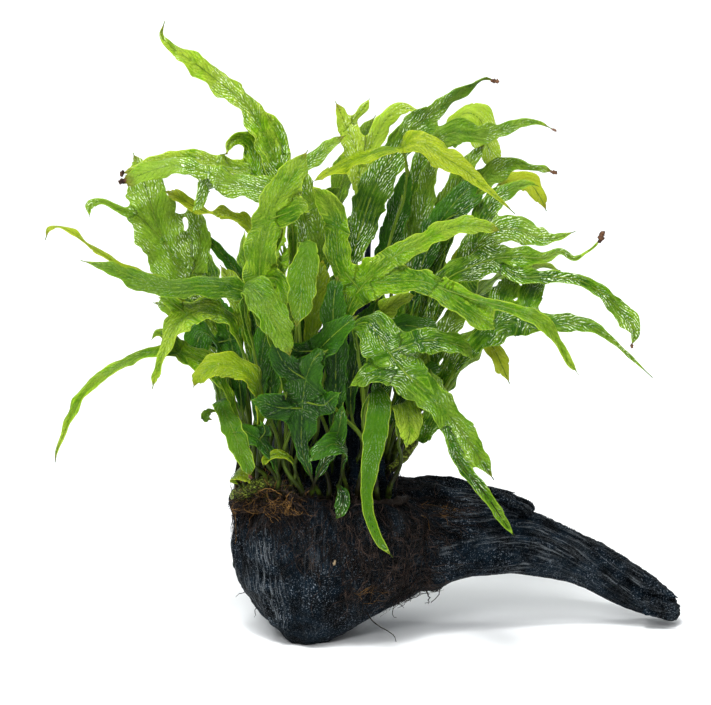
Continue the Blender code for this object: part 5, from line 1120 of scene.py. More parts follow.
def leaf_material(name, colours):
    """A wet blade: patches of two greens, side veins that run forwards, a fine net and a pale margin, which
    is partly its own paler rim and partly a painted glow of light through the thin edge. Highlights of its
    wet gloss are painted along its ridges, and its depth of green is partly painted shade and painted light.
    """
    body, shade, light, vein, midrib = (rgb(colour) for colour in colours)
    look = Shading(name)
    chart, blade, rib = look.layer("chart"), look.layer("blade"), look.layer("rib")
    margin, along = look.part(blade, 0), look.part(blade, 1)
    off = look.part(rib, 0)
    streaks = look.noise(look.scaled(rib, 1.5, 0.13, 1.0), 1.0, 4.0, 0.6)
    patches = look.noise(chart, 9.0, 4.0, 0.55, 0.5)
    wander = look.noise(chart, 5.0, 2.0, 0.5)
    lines = slanted(look, rib, off, wander, *VEINS)
    net = look.cells(chart, 1.3)
    colour = look.mix(look.span(patches, 0.40, 0.62), body, shade)
    colour = look.mix(look.span(streaks, 0.42, 0.70, 0.0, 0.65), colour, light)
    colour = look.mix(look.span(off, 2.0, 0.4, 0.0, 0.6), colour, shade)
    tips = look.times(look.span(along, 0.55, 1.0, 0.0, 0.6), look.span(patches, 0.3, 0.6))
    colour = look.mix(tips, colour, light)
    colour = look.mix(look.span(lines, 0.13, 0.0, 0.0, 0.45), colour, vein)
    colour = look.mix(look.span(net, 0.10, 0.0, 0.0, 0.30), colour, vein)
    # Painted highlights: pale dashes along the ridges, in patches, as strong as the blade's share in the
    # "wet" layer
    ridges = look.span(slanted(look, rib, off, wander, *PAINTED_HIGHLIGHT_LINES), 0.26, 0.45)
    painted_highlight = look.span(look.noise(look.scaled(chart, 0.6, 1.3, 1.0), 1.0, 5.0, 0.7), 0.455, 0.585)
    painted_highlight = look.times(painted_highlight, ridges)
    painted_highlight = look.times(painted_highlight, look.span(look.noise(chart, 15.0, 4.0, 0.6), 0.44, 0.57))
    painted_highlight = look.times(painted_highlight, look.part(look.layer("wet"), 0))
    # The blade's depth of green: partly its own tone, partly painted shade over 0 and painted light under 0
    depth = look.part(look.layer("wet"), 1)
    colour = look.mix(depth, colour, shade)
    colour = look.mix(look.times(depth, -1.0), colour, light)
    colour = look.mix(painted_highlight, colour, PAINTED_HIGHLIGHT_COLOUR)
    # Paler towards the margin: partly its own paler rim, partly a painted glow of light through the thin
    # edge
    colour = look.mix(look.span(margin, 0.45, 0.1, 0.0, 0.5), colour, light)
    colour = look.mix(look.span(off, 0.36, 0.16, 0.0, 0.75), colour, midrib)
    colour = look.mix(look.span(along, 0.965, 1.0, 0.0, 0.8), colour, TIP_BROWN)
    wet = look.noise(look.scaled(rib, 1.2, 0.5, 1.0), 1.0, 4.0, 0.65)
    normal = look.bump(look.span(lines, 0.0, 0.3), 0.10)
    normal = look.bump(look.span(net, 0.0, 0.35), 0.10, normal)
    normal = look.bump(wet, 0.60, normal)
    return look.finish(Base_Color=colour, Roughness=look.span(wet, 0.3, 0.7, 0.35, 0.55), Normal=normal,
                       Subsurface_Weight=0.25, Subsurface_Radius=(0.8, 1.0, 0.1), Subsurface_Scale=MM,
                       Specular_IOR_Level=0.02, Coat_Weight=0.17, Coat_Roughness=0.05, Coat_Normal=normal)


def stalk_material():
    """Stalks and midribs: olive with fine lines along them, darker and brown towards the foot, partly their
    own brown and partly painted shade under the crown.
    """
    look = Shading("wet fern stalk")
    lines = look.noise(look.scaled(look.layer("rib"), 0.12, 2.2, 1.0), 1.0, 3.0)
    place = look.place()
    patches = look.noise(place, 6.0)
    colour = look.mix(look.span(lines, 0.3, 0.7), rgb("34530d"), rgb("6f8526"))
    height = look.part(place, 2)
    # Darker towards the foot, and near black in patches there: partly the stalks' own brown, partly painted
    # shade under the crown
    colour = look.mix(look.span(height, 110.0, 66.0, 0.0, 0.75), colour, rgb("1c260b"))
    foot = look.times(look.span(height, 94.0, 66.0), look.span(patches, 0.68, 0.40))
    colour = look.mix(look.times(foot, 0.95), colour, rgb("120d07"))
    normal = look.bump(lines, 0.10)
    return look.finish(Base_Color=colour, Roughness=0.34, Normal=normal, Subsurface_Weight=0.15,
                       Subsurface_Radius=(0.5, 0.8, 0.2), Subsurface_Scale=MM,
                       Specular_IOR_Level=0.04, Coat_Weight=0.1, Coat_Roughness=0.1)


def wood_material():
    """Wet blackened wood: blue-black, worn grey on its ridges, with painted glints: pale specks painted onto
    its grains. It reads how high each point stands and how thickly the roots cover it."""
    look = Shading("blackened driftwood")
    grain, relief = look.layer("chart"), look.part(look.layer("blade"), 0)
    felt = look.part(look.layer("blade"), 1)
    place = look.place()
    streaks = look.noise(look.scaled(grain, 1.4, 0.09, 1.0), 1.0, 6.0, 0.72)
    clouds = look.noise(place, 8.0, 4.0)
    patches = look.noise(place, 16.0, 2.0)
    speck = look.noise(place, 0.55, 2.0, 0.6)
    colour = look.mix(look.span(clouds, 0.35, 0.7), rgb("020508"), rgb("13202a"))
    worn = look.times(look.span(streaks, 0.49, 0.64), look.span(relief, 0.30, 0.95))
    across = look.part(place, 0)
    left, right = look.span(across, -4.0, -16.0, 0.3, 1.0), look.span(across, 34.0, 50.0, 0.3, 0.9)
    where = look.maths("MAXIMUM", left, right)
    colour = look.mix(look.times(worn, where), colour, rgb("6c7276"))
    # Painted glints: pale grey specks in patches, fewer on the upright between the stalks
    glint = look.times(look.span(speck, 0.58, 0.67), look.span(patches, 0.38, 0.66, 0.2, 0.85))
    glint = look.times(glint, look.span(look.part(place, 2), 72.0, 60.0, 0.15, 1.0))
    colour = look.mix(glint, colour, rgb("8a949e"))
    colour = look.mix(look.times(felt, 0.6), colour, rgb("080807"))
    grains = look.cells(place, 0.9, feature="F1")
    normal = look.bump(streaks, 1.3)
    normal = look.bump(grains, 1.0, normal)
    normal = look.bump(speck, 0.8, normal)
    return look.finish(Base_Color=colour, Roughness=look.span(clouds, 0.3, 0.7, 0.35, 0.6), Normal=normal,
                       Specular_IOR_Level=0.01, Coat_Weight=0.02, Coat_Roughness=0.08, Coat_Normal=normal)


def root_material(name, dark, light):
    """Roots and withered ends: patches of two colours, and finer ones of the dark one."""
    look = Shading(name)
    place = look.place()
    colour = look.mix(look.span(look.noise(place, 3.0), 0.35, 0.68), rgb(dark), rgb(light))
    colour = look.mix(look.span(look.noise(place, 0.8), 0.5, 0.8, 0.0, 0.6), colour, rgb(dark))
    normal = look.bump(look.noise(place, 0.3), 0.05)
    return look.finish(Base_Color=colour, Roughness=0.6, Normal=normal, Specular_IOR_Level=0.1)


def rhizome_material():
    """Creeping stem: green at its left end, brown elsewhere, under dark scales."""
    look = Shading("creeping rhizome")
    place = look.place()
    scales = look.cells(place, 0.9, feature="F1")
    green = look.mix(look.span(look.noise(place, 4.0), 0.38, 0.62), rgb("94a83c"), rgb("5e7022"))
    left = look.span(look.part(place, 0), -9.0, -18.0)
    climbing = look.span(look.part(place, 2), 62.0, 72.0, 0.0, 0.85)
    colour = look.mix(look.maths("MAXIMUM", left, climbing), rgb("17110a"), green)
    colour = look.mix(look.span(scales, 0.30, 0.6, 0.0, 0.80), colour, rgb("1a110a"))
    normal = look.bump(scales, 0.6)
    return look.finish(Base_Color=colour, Roughness=0.6, Normal=normal, Specular_IOR_Level=0.15)


# ---------------------------------------------------------------- driftwood

WOOD_GRAIN = 0.75  # between the points of the driftwood's mesh
COARSE_GRAIN = 1.6  # the same for the upright, which the fronds hide
WOOD_SWELL = 0.25  # so that the pieces of wood, which have a gap between them as solids, run together
WOOD_ROUNDS, POST_ROUNDS = 10, 4  # how many times their surfaces are smoothed
SAME_PLACE = 0.01  # points of the solids as near as this are one
# The middle of the wood's rings, as (x, y), and their radius
STUMP_AXIS, STUMP_RADIUS = (8.0, 4.0), 34.0
POST_AXIS, POST_RADIUS = (8.0, 18.0), 14.0
BRANCH_RADIUS = 17.0
BRANCH_MIDDLE = (45, 146)  # the branch's middle line is followed between these x
BRANCH_ORDER = 4
# Ridges along the grain: their size across it and how far they stand out
STUMP_RIDGES = [(13.0, 1.3), (5.5, 0.75), (2.4, 0.35)]
BRANCH_RIDGES = [(11.0, 1.0), (4.5, 0.8), (2.0, 0.4)]
GRAIN_STRETCH, RIDGE_SHARPNESS = 7.0, 2.6
# Where in the noise each grain is read, and how far on the ridges of the next size
STUMP_SEED, BRANCH_SEED, POST_SEED, NEXT_RIDGES = 1.3, 5.1, 8.8, 9.7
GRAIN_SLANT = 3.0  # how far the stump's grain climbs and falls on its way round
STUMP_SHARE = 0.55  # of the stump's ridges, which stand out less than the branch's
WORN_SHARE, SPLINTER_SHARE = 0.65, 0.8  # what is added to that by wear, and to the branch's by splinters
GRAINS, GRAIN_SIZE = 0.35, 2.1  # how far the finest lumps stand out, and their size
BELOW_RIDGES, BELOW_GRAINS = 0.6, 0.7  # the shares lost where the wood looks down
WOOD_INSET, POST_INSET = 0.6, 0.3  # the ridges stand out from this far inside the solids' surface
SHOWN_HEIGHT, SHOWN_MIDDLE = 2.4, 0.4  # how the material reads the relief
POST_FADE = (168, 40, 0.15)  # the upright's ridges fade out towards this z over this length, to this share
POST_X, POST_THINNING = 21.0, 0.45  # where the upright's broken end thins to, and by what share
TIP_RISE = 1.4  # how far the branch's tip lifts off the floor

# Parts of the wood, each as ramps that are multiplied: (what is read, where it starts, where it is whole).
# "up" is how far the surface looks up, from -1 to 1, and "tilt" how far it looks up or down.
BRANCH_SIDE = [("x", 26.0, 50.0)]
BRANCH_TIP = [("x", 132, 144)]
POST_END = [("z", 112, 148)]
WORN_LEFT = [("x", -8, -30)]
SPLINTERED = [("x", 40, 52), ("x", 92, 82), ("up", 0.2, 0.6)]
LOOKS_DOWN = [("up", -0.3, -0.8)]
RIM = [("x", -17, -9), ("x", 38, 30), ("y", -22, -28), ("z", 46, 55)]
RIM_HEIGHT, RIM_RAGGED, RIM_SIZE = 3.6, 3.0, 4.5
FELT_FRONT = [("x", 2, 18), ("x", 56, 48), ("z", 10, 22), ("y", 12, 0)]
FELT_TOP = [("z", 44, 52), ("x", 34, 24)]
FELT_TOP_SHARE = 0.7
FELT_THICKNESS, FELT_PATCHES, FELT_PATCH_SIZE = 0.75, 0.6, 7.0
# Hollows and swellings: how far the surface stands out there, and where
SWELLINGS = [
    (-1.8, [("x", -22, -30), ("z", 24, 40)]),
    (-1.6, [("x", 34, 42), ("x", 92, 80), ("up", 0.0, 0.6)]),
    (2.2, [("x", -6, -14), ("z", 32, 24), ("z", 4, 10)]),
    (2.6, [("z", 13, 4), ("x", 22, 16), ("tilt", 0.45, 0.15)]),
]

# Splinters that the grain ends in: root and tip as seen, (x, z, y), and their half width and thickness
SPLINTERS = [
    ((72, 61.5, 2), (85.3, 57.3, -2), 2.0, 1.2), ((76, 59, -4), (86, 56, -6), 1.6, 1.0),
    ((70, 62.5, 6), (82, 60.8, 5), 1.8, 1.1), ((79, 56.5, -8), (86.6, 54, -9), 1.3, 0.9),
    ((136, 23, 6), (147, 18.9, 4), 2.2, 1.6), ((136, 18, 0), (146, 13.6, -1), 2.0, 1.6),
    ((133, 14, 2), (142.5, 10.5, 1), 1.8, 1.4), ((137, 20, 12), (146.6, 15.6, 11), 1.8, 1.4),
]
# What is left of the wood between the stalks: (x, y, the height of its tip, half width)
STANDING = [
    (-18, -15, 65, 3.0), (-13, -17, 69, 3.2), (-8, -15, 74, 3.6), (-3, -18, 69, 3.0), (2, -15, 80, 4.0),
    (7, -18, 72, 3.4), (12, -15, 83, 4.0), (17, -17, 75, 3.6), (22, -15, 72, 3.4), (27, -14, 78, 3.2),
    (31, -15, 69, 3.0),
]
STANDING_DEPTH, STANDING_LEAN, STANDING_BACK = 3.0, 0.06, 2.0  # where they start, and how their tips lean
SPLINTER_STEPS, SPLINTER_SIDES = 24, 18
SPLINTER_END, SPLINTER_END_POWER = 0.9, 1.7  # the share of its width that a splinter loses to its tip
FLUTE_RADIUS, FLUTE_LENGTH, FLUTE_DEPTH = 2.2, 3.0, 0.45


def noise_at(spots):
    return np.array([noise.noise(spot) for spot in spots])


def within(ramps, points, normals=None):
    """How far each point lies in a part of the wood, from 0 to 1."""
    readings = dict(zip("xyz", points.T))
    if normals is not None:
        readings.update(up=normals[:, 2], tilt=np.abs(normals[:, 2]))
    return np.prod([ramp(readings[name], start, end) for name, start, end in ramps], axis=0)


def circle(angles, radius):
    return np.column_stack([np.cos(angles), np.sin(angles)]) * radius


def joined(parts):
    """The points and faces of several (points, faces)."""
    points, faces = [], []
    for places, polygons in parts:
        faces += [[i + len(points) for i in polygon] for polygon in polygons]
        points += places
    return points, faces


def solid_of(*nodes):
    """Copies of the frame's nodes in one mesh, in metres."""
    meshes = [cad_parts[node].data for node in nodes]
    points, faces = joined(([vertex.co.copy() for vertex in mesh.vertices],
                            [polygon.vertices for polygon in mesh.polygons]) for mesh in meshes)
    solid = bpy.data.meshes.new("solid")
    solid.from_pydata(points, [], faces)
    return solid


def evened(mesh, size, rounds):
    """The mesh's surface as evenly spaced squares, smoothed: (points, their normals, squares) in mm."""
    form = bmesh.new()
    form.from_mesh(mesh)
    bmesh.ops.remove_doubles(form, verts=form.verts, dist=SAME_PLACE * MM)
    bmesh.ops.recalc_face_normals(form, faces=form.faces)
    form.to_mesh(mesh)
    form.free()
    helper = bpy.data.objects.new("helper", mesh)
    bpy.context.scene.collection.objects.link(helper)
    swell = helper.modifiers.new("swell", "DISPLACE")
    swell.strength, swell.mid_level = WOOD_SWELL * MM, 0.0
    remesh = helper.modifiers.new("even", "REMESH")
    remesh.mode, remesh.voxel_size = "VOXEL", size * MM
    smooth = helper.modifiers.new("smooth", "SMOOTH")
    smooth.factor, smooth.iterations = 0.5, rounds
    made = bpy.data.meshes.new_from_object(helper.evaluated_get(bpy.context.evaluated_depsgraph_get()))
    bpy.data.objects.remove(helper)
    points, normals = (np.empty(len(made.vertices) * 3, np.float32) for _ in range(2))
    made.vertices.foreach_get("co", points)
    made.vertices.foreach_get("normal", normals)
    corners = np.empty(len(made.loops), np.int32)
    made.loops.foreach_get("vertex_index", corners)
    points, normals = (values.reshape(-1, 3).astype(float) for values in (points, normals))
    return points / MM, normals, corners.reshape(-1, 4)


def ridged(round_the_grain, along, ridges, seed):
    """Ridges that run with the grain. The first argument is the place across it, as points on a circle."""
    height = np.zeros(len(along))
    for number, (size, depth) in enumerate(ridges):
        onwards = along / (size * GRAIN_STRETCH) + seed + NEXT_RIDGES * number
        waves = noise_at(np.column_stack([round_the_grain / size, onwards]))
        height += depth * (1 - RIDGE_SHARPNESS * np.abs(waves))
    return height


def branch_middle():
    """The branch's middle line, as polynomials in x for y and z."""
    points = np.array([vertex.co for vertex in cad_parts["driftwood_branch"].data.vertices]) / MM
    return [np.polyfit(points[:, 0], points[:, axis], BRANCH_ORDER) for axis in (1, 2)]


def wood_relief(points, normals):
    """How far each point of the stump and branch stands out, with (round, along) for its grain."""
    x, y, z = points.T
    stump_angle = np.arctan2(y - STUMP_AXIS[1], x - STUMP_AXIS[0])
    along = z + GRAIN_SLANT * np.sin(2 * stump_angle)
    stump = ridged(circle(stump_angle, STUMP_RADIUS), along, STUMP_RIDGES, STUMP_SEED)
    middle = [np.polyval(line, np.clip(x, *BRANCH_MIDDLE)) for line in branch_middle()]
    branch_angle = np.arctan2(z - middle[1], y - middle[0])
    branch = ridged(circle(branch_angle, BRANCH_RADIUS), x, BRANCH_RIDGES, BRANCH_SEED)
    share = within(BRANCH_SIDE, points)
    below = within(LOOKS_DOWN, points, normals)
    worn = STUMP_SHARE + WORN_SHARE * within(WORN_LEFT, points)
    height = (stump * (1 - share) * worn + branch * share) * (1 - BELOW_RIDGES * below)
    height += share * within(SPLINTERED, points, normals) * SPLINTER_SHARE * branch
    height += GRAINS * noise_at(points / GRAIN_SIZE) * (1 - BELOW_GRAINS * below)
    for amount, ramps in SWELLINGS:
        height += amount * within(ramps, points, normals)
    rounded = np.where(share > 0.5, branch_angle * BRANCH_RADIUS, stump_angle * STUMP_RADIUS)
    return height, np.column_stack([rounded, np.where(share > 0.5, x, z)])


def felted(points):
    """How thickly fine roots cover each point of the wood, from 0 to 1."""
    patchy = FELT_THICKNESS + FELT_PATCHES * noise_at(points / FELT_PATCH_SIZE)
    front, top = within(FELT_FRONT, points), FELT_TOP_SHARE * within(FELT_TOP, points)
    return np.clip(np.maximum(front, top) * patchy, 0, 1)


def wood_form(points, faces, height, felt, grain):
    """The start of a piece of wood, with what its material reads of it."""
    form = Form()
    shown = np.clip(height / SHOWN_HEIGHT + SHOWN_MIDDLE, 0, 1)
    form.add(points, faces, 0, grain, np.column_stack([shown, felt]), grain)
    return form


def add_splinter(form, root, tip, half_width, thickness):
    """A flat fluted wedge of wood with a broken end, which starts inside the rest."""
    root, tip = np.array(root), np.array(tip)
    share = np.linspace(0, 1, SPLINTER_STEPS)
    line = root + (tip - root) * share[:, None]
    radii = half_width * (1 - share**SPLINTER_END_POWER * SPLINTER_END)
    radii *= 1 + 0.10 * np.sin(share * 23 + half_width * 9)
    standing = abs(tip[2] - root[2]) > np.linalg.norm((tip - root)[:2])
    flat = np.array([0.0, 1.0, 0.0] if standing else [0.0, 0.0, 1.0])
    add_tube(form, line, radii, SPLINTER_SIDES, 0, np.tile(flat, (SPLINTER_STEPS, 1)))
    middles = np.repeat(line, SPLINTER_SIDES, axis=0)
    off = form.points[-1] - middles
    off -= np.outer(off @ flat, flat) * (1 - thickness / half_width)
    around = np.tile(np.arange(SPLINTER_SIDES), SPLINTER_STEPS) * 2 * math.pi / SPLINTER_SIDES
    along = np.repeat(share, SPLINTER_SIDES) * FLUTE_LENGTH + root[0]
    flutes = noise_at(np.column_stack([circle(around, FLUTE_RADIUS), along]))
    form.points[-1] = middles + off * (1 + FLUTE_DEPTH * flutes)[:, None]
    form.layers["blade"][-1] = np.column_stack([0.5 + 0.8 * flutes, 0 * flutes])


def make_wood(material):
    """The stump with its branch, weathered along the grain, with a ragged lip before the front rhizome. Its
    foot stays flat. Returns (points, faces)."""
    nodes = "driftwood_stump", "driftwood_branch"
    points, normals, faces = evened(solid_of(*nodes), WOOD_GRAIN, WOOD_ROUNDS)
    height, grain = wood_relief(points, normals)
    points = points + normals * (height - WOOD_INSET)[:, None]
    lip = (RIM_HEIGHT + RIM_RAGGED * noise_at(points / RIM_SIZE)) * within(RIM, points)
    points[:, 2] = np.maximum(points[:, 2] + lip + TIP_RISE * within(BRANCH_TIP, points), 0.0)
    form = wood_form(points, faces, height, felted(points), grain)
    for root, tip, half_width, thickness in SPLINTERS:
        add_splinter(form, seen(*root), seen(*tip), half_width, thickness)
    for x, y, top, half_width in STANDING:
        root = (x, y, STUMP_TOP - STANDING_DEPTH)
        tip = (x + STANDING_LEAN * (x - STUMP_AXIS[0]), y + STANDING_BACK, top)
        add_splinter(form, root, tip, half_width, half_width / 2)
    add_piece("driftwood", form, [material], "driftwood", *nodes)
    return points.tolist(), faces.tolist()


def make_post(material):
    """The upright remains of the stump, thinning to a broken end."""
    points, normals, faces = evened(solid_of("driftwood_upright"), COARSE_GRAIN, POST_ROUNDS)
    angle = np.arctan2(points[:, 1] - POST_AXIS[1], points[:, 0] - POST_AXIS[0])
    height = ridged(circle(angle, POST_RADIUS), points[:, 2], BRANCH_RIDGES, POST_SEED)
    top, length, least = POST_FADE
    points += normals * (height * np.clip((top - points[:, 2]) / length, least, 1) - POST_INSET)[:, None]
    points[:, 0] += (POST_X - points[:, 0]) * POST_THINNING * within(POST_END, points)
    form = wood_form(points, faces, height, 0 * angle, np.column_stack([angle * POST_RADIUS, points[:, 2]]))
    add_piece("driftwood_post", form, [material], "driftwood", "driftwood_upright")


# ---------------------------------------------------------------- rhizomes

RHIZOME_SKIN = 1.8  # the radius of the creeping stems, whose roots and scales fill the rest
RHIZOME_END, RHIZOME_END_SPAN = 0.9, (-14, -22)  # how much thicker they grow to the left, between these x
RHIZOME_TIP, TIP_KNOTS = 0.55, 0.25  # their radius at an end is a little over this share of the whole
RHIZOME_SINK = 0.7  # how far they sink where they lie on the wood
RHIZOME_STEP, RHIZOME_SIDES = 0.7, 24
RHIZOME_LUMPS = ((0.5, 3.1), (0.28, 1.2))  # height and size
# How far the front one arches up: at these x, by this much
ARCH = ((-31, -24, -16, -11, -3), (0.5, 5.0, 10.0, 8.5, 0.0))


def make_rhizomes(material):
    """Creeping stems, lumpy and scaly, thinner at their ends. Returns (points, faces) of each."""
    skins = []
    for name, points in RHIZOMES.items():
        rib = rhizome_rib(points)
        knots = np.linspace(0, rib.last, int(sum(rib.spans) / RHIZOME_STEP))
        line = np.array([rib.place(k) for k in knots])
        ends = np.minimum(knots, rib.last - knots)
        line[:, 2] -= RHIZOME_SINK * eased(1.5 - line[:, 2] / STUMP_TOP)
        if name == "rhizome_front":
            line[:, 2] += np.interp(line[:, 0], *ARCH)
        radii = RHIZOME_SKIN + RHIZOME_END * ramp(line[:, 0], *RHIZOME_END_SPAN)
        radii *= RHIZOME_TIP + (1 - RHIZOME_TIP) * eased(ends + TIP_KNOTS)
        radii *= 1 + 0.07 * np.sin(knots * 9.1)
        form = Form()
        add_tube(form, line, radii, RHIZOME_SIDES, 0)
        skin = form.points[0]
        outwards = skin - np.repeat(line, RHIZOME_SIDES, axis=0)
        outwards /= np.linalg.norm(outwards, axis=1)[:, None]
        lumps = sum(height * noise_at(skin / size) for height, size in RHIZOME_LUMPS)
        form.points[0] = skin + outwards * lumps[:, None]
        add_piece(name + "_stem", form, [material], "rhizome", name)
        skins.append((form.points[0].tolist(), form.faces))
    return skins


# ---------------------------------------------------------------- roots

FEWER = 1  # the fine roots are this many times fewer than the counts below
ROOT_STEP = 1.1
ROOT_SIDES = 3
ROOT_TIP = 0.45  # a root's radius at its tip, as a share
LEFT_LIMIT = -31.5  # no root strays past this x
DARK, BROWN, ORANGE, HUSK = range(4)  # the roots' materials
STRAY, PULL = 0.45, 0.08  # how far a creeping root turns at each step, and how far it is pulled down
LIFT_CHANGE = 0.3
BED_FRONT, BED_BACK = -70.0, 20.0  # a bed's roots start where lines of sight meet the wood between these y
BED_ABOVE = 90.0  # or, in one with "above", whose places are (x, y), straight below this height
# Beds of roots on the wood's front: where they start, as seen (lowest x and z, highest x and z), how many
# there are, the way most run (x, z), how much they stray, their lengths, radii and height above the wood
ROOT_BEDS = {
    "over the rhizome": {"from": (-31, 55), "to": (40, 66), "count": 330, "way": (0.2, -1.0), "stray": 1.0,
                         "length": (5, 20), "radius": (0.08, 0.19), "height": (0.1, 1.4)},
    "felt": {"from": (12, 20), "to": (50, 57), "count": 230, "way": (0.15, -1.0), "stray": 0.9,
             "length": (8, 26), "radius": (0.08, 0.19), "height": (0.0, 1.6)},
    "felt edge": {"from": (24, 17), "to": (47, 30), "count": 90, "way": (0.6, -0.8), "stray": 1.2,
                  "length": (5, 12), "radius": (0.08, 0.16), "height": (0.1, 1.8)},
    "middle": {"from": (-8, 32), "to": (24, 58), "count": 90, "way": (-0.3, -1.0), "stray": 0.9,
               "length": (10, 26), "radius": (0.06, 0.12), "height": (0.0, 0.7)},
    "left edge": {"from": (-31, 51), "to": (-4, 61), "count": 170, "way": (0.5, -0.6), "stray": 1.2,
                  "length": (6, 15), "radius": (0.08, 0.17), "height": (0.1, 1.8)},
    "stump's top": {"above": True, "from": (-28, -12), "to": (34, 40), "count": 300, "way": (0.1, 0.0),
                    "stray": 1.0, "length": (6, 20), "radius": (0.07, 0.17), "height": (0.1, 1.0)},
    "branch top": {"from": (36, 44), "to": (60, 60), "count": 80, "way": (1.0, -0.5), "stray": 0.7,
                   "length": (7, 17), "radius": (0.08, 0.16), "height": (0.0, 0.8)},
}
# Those of orange ones, some with how far they run towards the back, or their own pull
ORANGE_BEDS = [
    {"from": (-31, 53), "to": (-13, 60), "count": 60, "way": (1.0, -0.3), "out": -0.5, "stray": 0.6,
     "pull": 0.0, "length": (8, 17), "radius": (0.12, 0.22), "height": (1.2, 3.0)},
    {"from": (17, 17), "to": (26, 22), "count": 14, "way": (0.8, 0.5), "stray": 1.1,
     "length": (4, 9), "radius": (0.05, 0.10), "height": (0.2, 1.0)},
    {"from": (44, 51), "to": (53, 56), "count": 12, "way": (1.0, -0.3), "stray": 0.6,
     "length": (4, 9), "radius": (0.06, 0.11), "height": (0.1, 0.9)},
]
# A tangle of roots fills this line, in (x, y, z), under the front rhizome's arch: how many of each material,
# how far from the line they start, and their radii
UNDER_ARCH = [(-29, -17, 58), (-23, -24, 60.5), (-15, -28, 63.5), (-9, -29, 61.5), (-4, -29.5, 58.5)]
ARCH_COUNTS, ARCH_REACH, ARCH_RADII = (120, 150, 130), (0.3, 4.5), (0.07, 0.16)
# Roots that run from each rhizome over the stump's edge, and ones that curl round it, of each material
FRINGE_COUNT, FRINGE_LENGTH, FRINGE_RADII, FRINGE_HEIGHT = 110, (8, 24), (0.09, 0.2), (0.1, 1.6)
FRINGE_OUT, FRINGE_START, FRINGE_STRAY = (0.2, 1.0), 1.5, 0.7
TANGLE_COUNT, TANGLE_REACH, TANGLE_RADII, TANGLE_LAST = 160, (1.4, 2.6), (0.09, 0.22), 5.0
TANGLE_STEPS, TANGLE_STRAY, TANGLE_PULL = (5, 13), 0.6, 0.06
STUMP_MIDDLE = (6, 4)
# Roots that hang from the middle rhizome where it climbs: how many, between which knots, lengths and radii
AERIAL_COUNT, AERIAL_KNOTS, AERIAL_LENGTH, AERIAL_RADII = 150, (3.8, 7.0), (6, 16), (0.12, 0.24)
HANG_PULL, AERIAL_STRAY, STUB_STRAY = 0.12, 0.35, 0.7
# Thicker roots and splinters that hang from the wood's lower edge, as seen: (x, z), way, length and radius
HANGING_STUBS = [
    ((46, 25), (0.3, 0, -1), 9, 0.34), ((48, 26), (0.5, 0, -0.4), 8, 0.26),
    ((50, 27), (-0.3, 0, -1), 7, 0.30), ((44, 23), (-0.6, 0, -0.7), 6, 0.24),
    ((35, 18), (0.4, 0, -1), 7, 0.30), ((33, 17), (-0.5, 0, -1), 6, 0.26),
    ((37, 19), (0.8, 0, -0.5), 6, 0.22), ((-28, 22), (-0.5, 0, -1), 5, 0.24),
    ((-23, 14), (-0.8, 0, -0.6), 4, 0.22),
]
HANGING_ROOT_RADII, HANGING_ROOT_STEPS, HANGING_ROOT_SIDES = (0.30, 0.14), 40, 6
# A pale husk that clings to the stump's front, as seen: (x, z, y), and its radii from end to end
HUSK_PLACE = (9.6, 32.8, -34.0)
HUSK_RADII = (0.15, 0.55, 0.75, 0.45, 0.6, 0.2)


def astray(chance, reach):
    return Vector([chance.uniform(-reach, reach) for _ in range(3)])


def creep(surface, place, ahead, length, height, chance, pull=PULL):
    """Points of a root that runs on over the wood from a place, straying as it goes."""
    line = []
    lift = chance.uniform(*height)
    for _ in range(int(length / ROOT_STEP) + 2):
        spot, normal, *_ = surface.find_nearest(place)
        lift += chance.uniform(-LIFT_CHANGE, LIFT_CHANGE)
        lift = min(max(lift, height[0]), height[1])
        place = spot + normal * lift
        line.append(place)
        ahead = ahead + astray(chance, STRAY) + Vector((0, 0, -pull))
        ahead = (ahead - normal * ahead.dot(normal)).normalized()
        place = place + ahead * ROOT_STEP
    return line


def add_root(form, line, radius, number):
    radii = np.linspace(radius, radius * ROOT_TIP, len(line))
    if len(line) > 2 and min(place.x for place in line) > LEFT_LIMIT:
        add_tube(form, line, radii, ROOT_SIDES, number)


def sow(form, surface, bed, count, number, chance):
    """Roots that start in a bed and creep over the wood."""
    for _ in range(count // FEWER):
        x, z = (chance.uniform(low, high) for low, high in zip(bed["from"], bed["to"]))
        if "above" in bed:
            origin, sight = Vector((x, z, BED_ABOVE)), Vector((0, 0, -1))
        else:
            origin = seen(x, z, BED_FRONT)
            sight = seen(x, z, 0.0) - origin
        hit, *_ = surface.ray_cast(origin, sight.normalized())
        if hit is None or "above" not in bed and hit.y > BED_BACK:
            continue
        way = Vector((bed["way"][0], bed.get("out", 0), bed["way"][1])) + astray(chance, bed["stray"])
        length = chance.uniform(*bed["length"])
        line = creep(surface, hit, way, length, bed["height"], chance, bed.get("pull", PULL))
        add_root(form, line, chance.uniform(*bed["radius"]), number)


def fringe(form, surface, rib, number, chance):
    """Roots that leave a rhizome and run down over the edge of the stump."""
    for _ in range(FRINGE_COUNT // FEWER):
        start = rib.place(chance.uniform(0, rib.last))
        out = (start.xy - Vector(STUMP_MIDDLE)).to_3d().normalized() * chance.uniform(*FRINGE_OUT)
        start += out * FRINGE_START + Vector((0, 0, chance.uniform(0, 2)))
        ahead = out + Vector((*(chance.uniform(-FRINGE_STRAY, FRINGE_STRAY) for _ in range(2)), -0.3))
        line = creep(surface, start, ahead, chance.uniform(*FRINGE_LENGTH), FRINGE_HEIGHT, chance)
        add_root(form, line, chance.uniform(*FRINGE_RADII), number)


